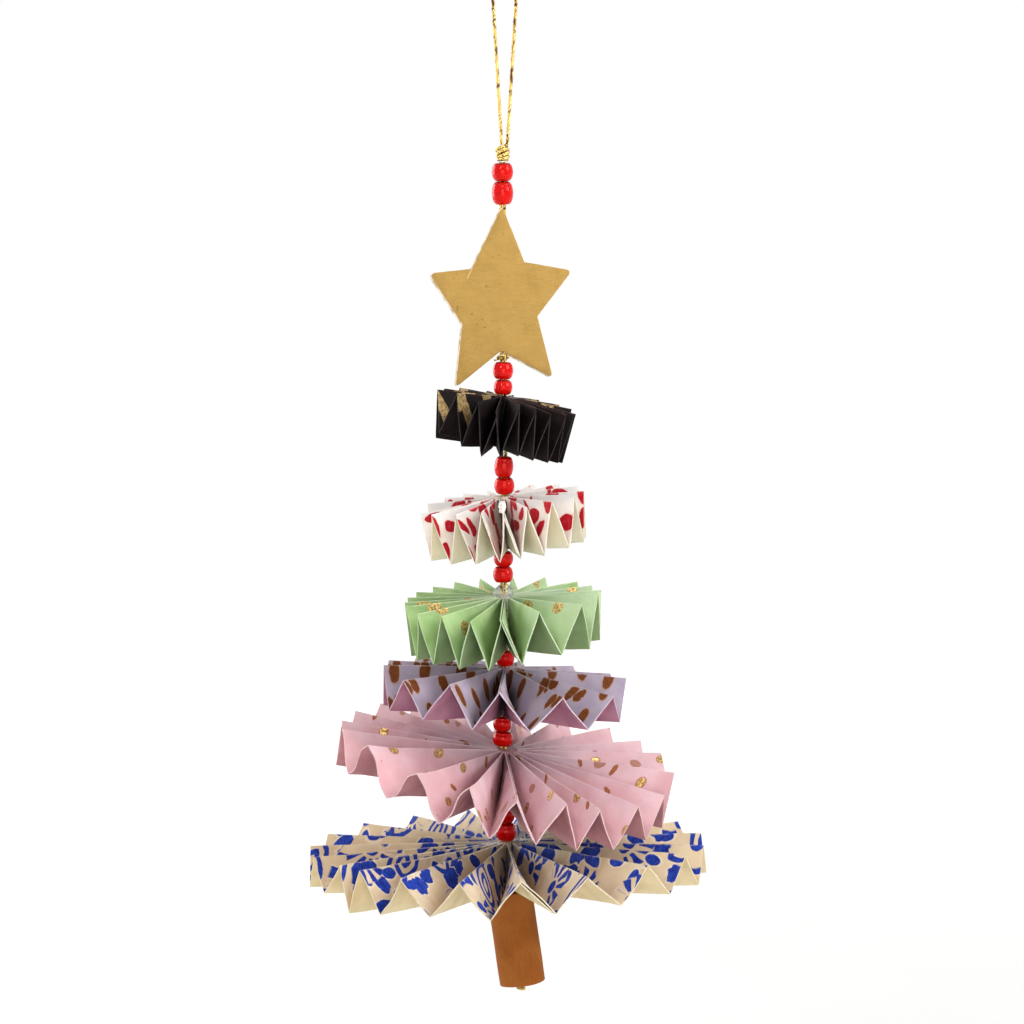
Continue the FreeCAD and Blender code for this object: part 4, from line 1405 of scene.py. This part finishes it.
for name, paper in PAPERS.items():
    for i, side in enumerate((printed_side, plain_side, cut_edge)):
        fans[name].data.materials[i] = side(name, paper)
print("three materials on each of", len(PAPERS), "fans")

# %% [markdown]
# ## Rolled trunk
# The trunk is a strip of brown paper rolled round the cord and glued.  Its free edge shows
# as a straight step down one side, and its end shows the turns.  One edge of a plane
# is extruded a small way at a time, each time turned a little more and drawn a little
# inward, as the paper is wound.

# %% Roll the trunk
def roll_trunk(outer=4.48, turns=8.6, pitch=0.31, start=150, parts=22):
    """pitch: how much nearer the cord each turn lies; parts: flat pieces in one turn."""
    clear_selection()
    bpy.ops.mesh.primitive_plane_add(size=2 * MM)
    roll = bpy.context.object
    roll.name = "rolled_trunk"
    open_mesh(roll)
    pick(roll, lambda v: v.index > 1)
    bpy.ops.mesh.delete(type="VERT")
    spiral = []
    for k in range(int(turns * parts) + 1):
        a, r = radians(start + 360 * k / parts), outer - pitch * k / parts
        spiral.append(Vector((r * sin(a), -r * cos(a), 0)) * MM)
    for index, z in enumerate((0, -TRUNK_LENGTH)):
        move_point(roll, index, spiral[0] + Vector((0, 0, z * MM)))
    pick_all()
    for a, b in zip(spiral, spiral[1:]):
        draw_edges(b - a)
    close_mesh()
    return roll


trunk = roll_trunk()
print("trunk rolled from", len(trunk.data.polygons), "small faces")

# %% Thickness, wear and lean of the trunk
finish_with(trunk, "SOLIDIFY", thickness=PAPER * MM, offset=0, use_even_offset=True)
open_mesh(trunk)
for z in (-2.6, -6.2, -9.8, -13.4, -16.0):
    cut_through((0, 0, z * MM), (0.1, 0.15, 1))
close_mesh()
make_uneven(trunk, 5 * MM, "RGB_TO_XYZ", 0.22 * MM)
smooth(trunk, 35)
trunk.matrix_world = (Matrix.Translation(trunk_top * MM)
                      @ Matrix.Rotation(radians(-TRUNK_LEAN), 4, "Y"))
settle(trunk)
share(trunk, "trunk", slot="paper_brown")
print("trunk of", len(trunk.data.polygons), "faces")


# %% Brown paper
def brown_paper():
    f = Finish("brown_trunk_paper")
    place = f.here()
    fibre = f.noise(place, 1.6, 5.0, 0.7, stretch=(2.2, 2.2, 0.5))
    fleck = f.noise(place, 2.4, 1.0, stretch=(1.0, 1.0, 0.35)).step(0.68, 0.76)
    colour = f.coats(f.clouded(place, 0.16, (0.255, 0.072, 0.010), (0.335, 0.108, 0.020)),
                     (fibre.step(0.4, 0.8) * 0.3, (0.46, 0.18, 0.045)),
                     (fleck * 0.35, (0.14, 0.040, 0.008)))
    return f.surface(Base_Color=colour, Roughness=fibre * 0.2 + 0.6, Specular_IOR_Level=0.1,
                     Normal=f.bump(fibre, 0.5, 0.12))


coat([trunk], brown_paper())
print("brown paper on the trunk")

# %% [markdown]
# ## Glue
# The fans are held to the cord by clear glue, which was pressed in from above and set as
# a core between the pleats.  The cores hardly show, so they stay as they are in the
# imported model, with a finish of glue in the paper's colour, darkened as painted shade.
# Where glue stands out it is a lump: rings of points are drawn up from a base, narrowed
# to a rounded top, and pushed out of round.

# %% Lumps of glue
def set_lump(name, node, slot, uneven, rings):
    """rings: share of the part's half width, and share of its height."""
    low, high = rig.box(node)
    middle, size = (low + high) / 2, high - low
    half = min(size.x, size.y) / 2
    lump = start_ring(name, 16, rings[0][0] * half,
                      location=(middle.x, middle.y, low.z + rings[0][1] * size.z))
    pick_all()
    bpy.ops.mesh.edge_face_add()
    for (r0, h0), (r1, h1) in zip(rings, rings[1:]):
        draw_faces((0, 0, (h1 - h0) * size.z))
        widen(r1 / r0)
    bpy.ops.mesh.inset(thickness=0.4 * rings[-1][0] * half)
    face_outward()
    close_mesh()
    finish_with(lump, "SUBSURF", levels=2, render_levels=2)
    make_uneven(lump, half * 0.8, "RGB_TO_XYZ", uneven * MM)
    bpy.ops.object.shade_smooth()
    share(lump, node, slot)
    return lump


green_glue = set_lump("glue_on_green_fan", "glue_green", "clear_glue", 0.6,
                      [(0.62, 0.0), (0.74, 0.03), (0.74, 0.79), (1.0, 0.845), (0.96, 0.88),
                       (0.68, 0.935), (0.36, 0.985)])
seam_glue = set_lump("glue_on_white_fan", "seam_lump", "white_glue", 0.5,
                     [(0.38, -0.62), (0.68, -0.45), (0.82, -0.08), (0.95, 0.24), (1.0, 0.5),
                      (0.82, 0.78), (0.42, 0.96)])
dab_glue = set_lump("glue_on_cream_fan", "glue_dab", "clear_glue", 0.3,
                    [(0.8, 0.02), (1.0, 0.12), (0.86, 0.42), (0.62, 0.75), (0.35, 0.96)])
open_mesh(green_glue)
glue_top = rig.box("glue_green")[1].z
pick(green_glue, lambda v: v.co.y < -0.35 * MM and v.co.z > glue_top - 2.3 * MM)
bpy.ops.transform.resize(value=(1, 0.12, 1), center_override=(0, 0.05 * MM, 0))
close_mesh()
print("three lumps of glue; the one on the green fan is pressed back from the cord")


# %% Glue finishes
def set_glue(name, per_mm, dark, light, rough, dull, **through):
    """Rough: where the glue is glossy; dull: how much rougher its clouds are."""
    f = Finish(name)
    cloud = f.noise(f.here(), per_mm, 3.0)
    return f.surface(Base_Color=f.blend(cloud.step(0.3, 0.7), dark, light),
                     Roughness=cloud * dull + rough, Normal=f.bump(cloud, 0.4, 0.3), **through)


def soaked_and_shaded_core(name, dark, light, top):
    """The core inside a fan, where glue has drawn up the paper's colour, with painted shade that darkens it lower
    down.
    """
    f = Finish("glue_core_" + name)
    place = f.here()
    cloud = f.noise(place, 1.2, 3.0, 0.6)
    # painted shade: the core is darker than the paper's underside, and darker again below its top
    soak_and_shade = Place(f, place, axes="XZ").y.step(top - 0.4, top - 1.3)
    soaked = [v * 0.6 for v in dark]
    colour = f.coats(soaked, (cloud.step(0.3, 0.7), light), (soak_and_shade, [v * 0.3 for v in soaked]))
    return f.surface(Base_Color=colour, Roughness=cloud * 0.2 + 0.35, Specular_IOR_Level=0.2,
                     Normal=f.bump(cloud, 0.4, 0.3))


coat((green_glue, dab_glue), set_glue("clear_glue", 0.9, (0.62, 0.66, 0.58), (0.86, 0.88, 0.84),
                                      0.15, 0.3, IOR=1.45, Transmission_Weight=0.62))
coat([seam_glue], set_glue("white_glue", 1.3, (0.66, 0.65, 0.58), (0.82, 0.81, 0.76), 0.28, 0.2))
cores = ("black", "white", "lilac", "pink", "cream")
for name in cores:
    core = soaked_and_shaded_core(name, *PAPERS[name]["under"], FANS[name]["hub"])
    for material_slot in frame["nodes"]["glue_" + name].material_slots:
        material_slot.link = "OBJECT"
        material_slot.material = core
print("glue finishes on", len(cores), "cores and three lumps")

# %% [markdown]
# ## Floor, lamps and surroundings
# The ornament hangs above a pale floor.  The floor and the surroundings show as white to
# the camera and in reflections, and light the object no more than a plain room does.
# A large soft lamp from the upper right gives the folds their light and shade.  One from the
# front and one from behind on the left fill the spaces between the fans, and a small one
# puts a glint on the beads.

# %% Pale floor
FLOOR = -0.26
clear_selection()
bpy.ops.mesh.primitive_plane_add(size=60, location=(0, 0, FLOOR))
floor = bpy.context.object
floor.name = "floor"
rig.stage(floor)


def seen_directly(f):
    """1 for what the camera sees, also by reflection or through glass."""
    path = f.add("LightPath")
    return path.out("Is Camera Ray").either(path.out("Is Glossy Ray")).either(
        path.out("Is Transmission Ray"))


f = Finish("pale_floor")
grain = f.noise(f.here(), 0.02, 3.0)
far_off = f.here().vector("LENGTH", output="Value").step(150, 900)
shown = f.blend(far_off, (0.14, 0.14, 0.14), (0.61, 0.61, 0.61))
floor.data.materials.append(f.surface(
    Base_Color=f.blend(grain, (0.80, 0.80, 0.79), (0.84, 0.84, 0.83)), Roughness=0.9,
    Specular_IOR_Level=0.0, Emission_Color=f.blend(seen_directly(f), (0, 0, 0), shown),
    Emission_Strength=1.0))
print("floor", round((cad_low.z - FLOOR) / MM), "mm under the trunk")

# %% Surroundings
world = bpy.data.worlds.new("pale_room")
world.use_nodes = True
bpy.context.scene.world = world
f = Finish("pale_room", world)
light = f.blend(seen_directly(f), (0.48, 0.48, 0.48), (1, 1, 1))
f.add("OutputWorld", {"Surface": f.add("Background", {"Color": light, "Strength": 1.0})})
bpy.context.scene.view_settings.view_transform = "Standard"
print("room ready")


# %% Lamps
AIM = Vector((0, 0, -0.1))      # about the middle of the ornament


def soft_lamp(name, place, size, power):
    bpy.ops.object.light_add(type="AREA", location=place)
    lamp = bpy.context.object
    lamp.name = name
    lamp.data.shape = "SQUARE"
    lamp.data.size, lamp.data.energy = size, power
    lamp.rotation_euler = (AIM - Vector(place)).to_track_quat("-Z", "Y").to_euler()


soft_lamp("lamp_upper_right", (0.60, -0.32, 0.28), 0.45, 4.4)
soft_lamp("lamp_front", (0.05, -0.85, -0.06), 0.5, 2.4)
soft_lamp("lamp_behind_left", (-0.60, 0.30, 0.05), 0.5, 3.6)
soft_lamp("lamp_glint", (-0.24, -0.50, 0.26), 0.12, 0.8)
print("four lamps")

# %% Sizes at the end
seen_low, seen_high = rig.bounds()
with open("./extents.json", "w") as out:
    json.dump({"cad": [list(cad_low), list(cad_high)], "visual": [list(seen_low), list(seen_high)]},
              out)
print("visual box in mm:", [round(v / MM, 1) for v in seen_high - seen_low])
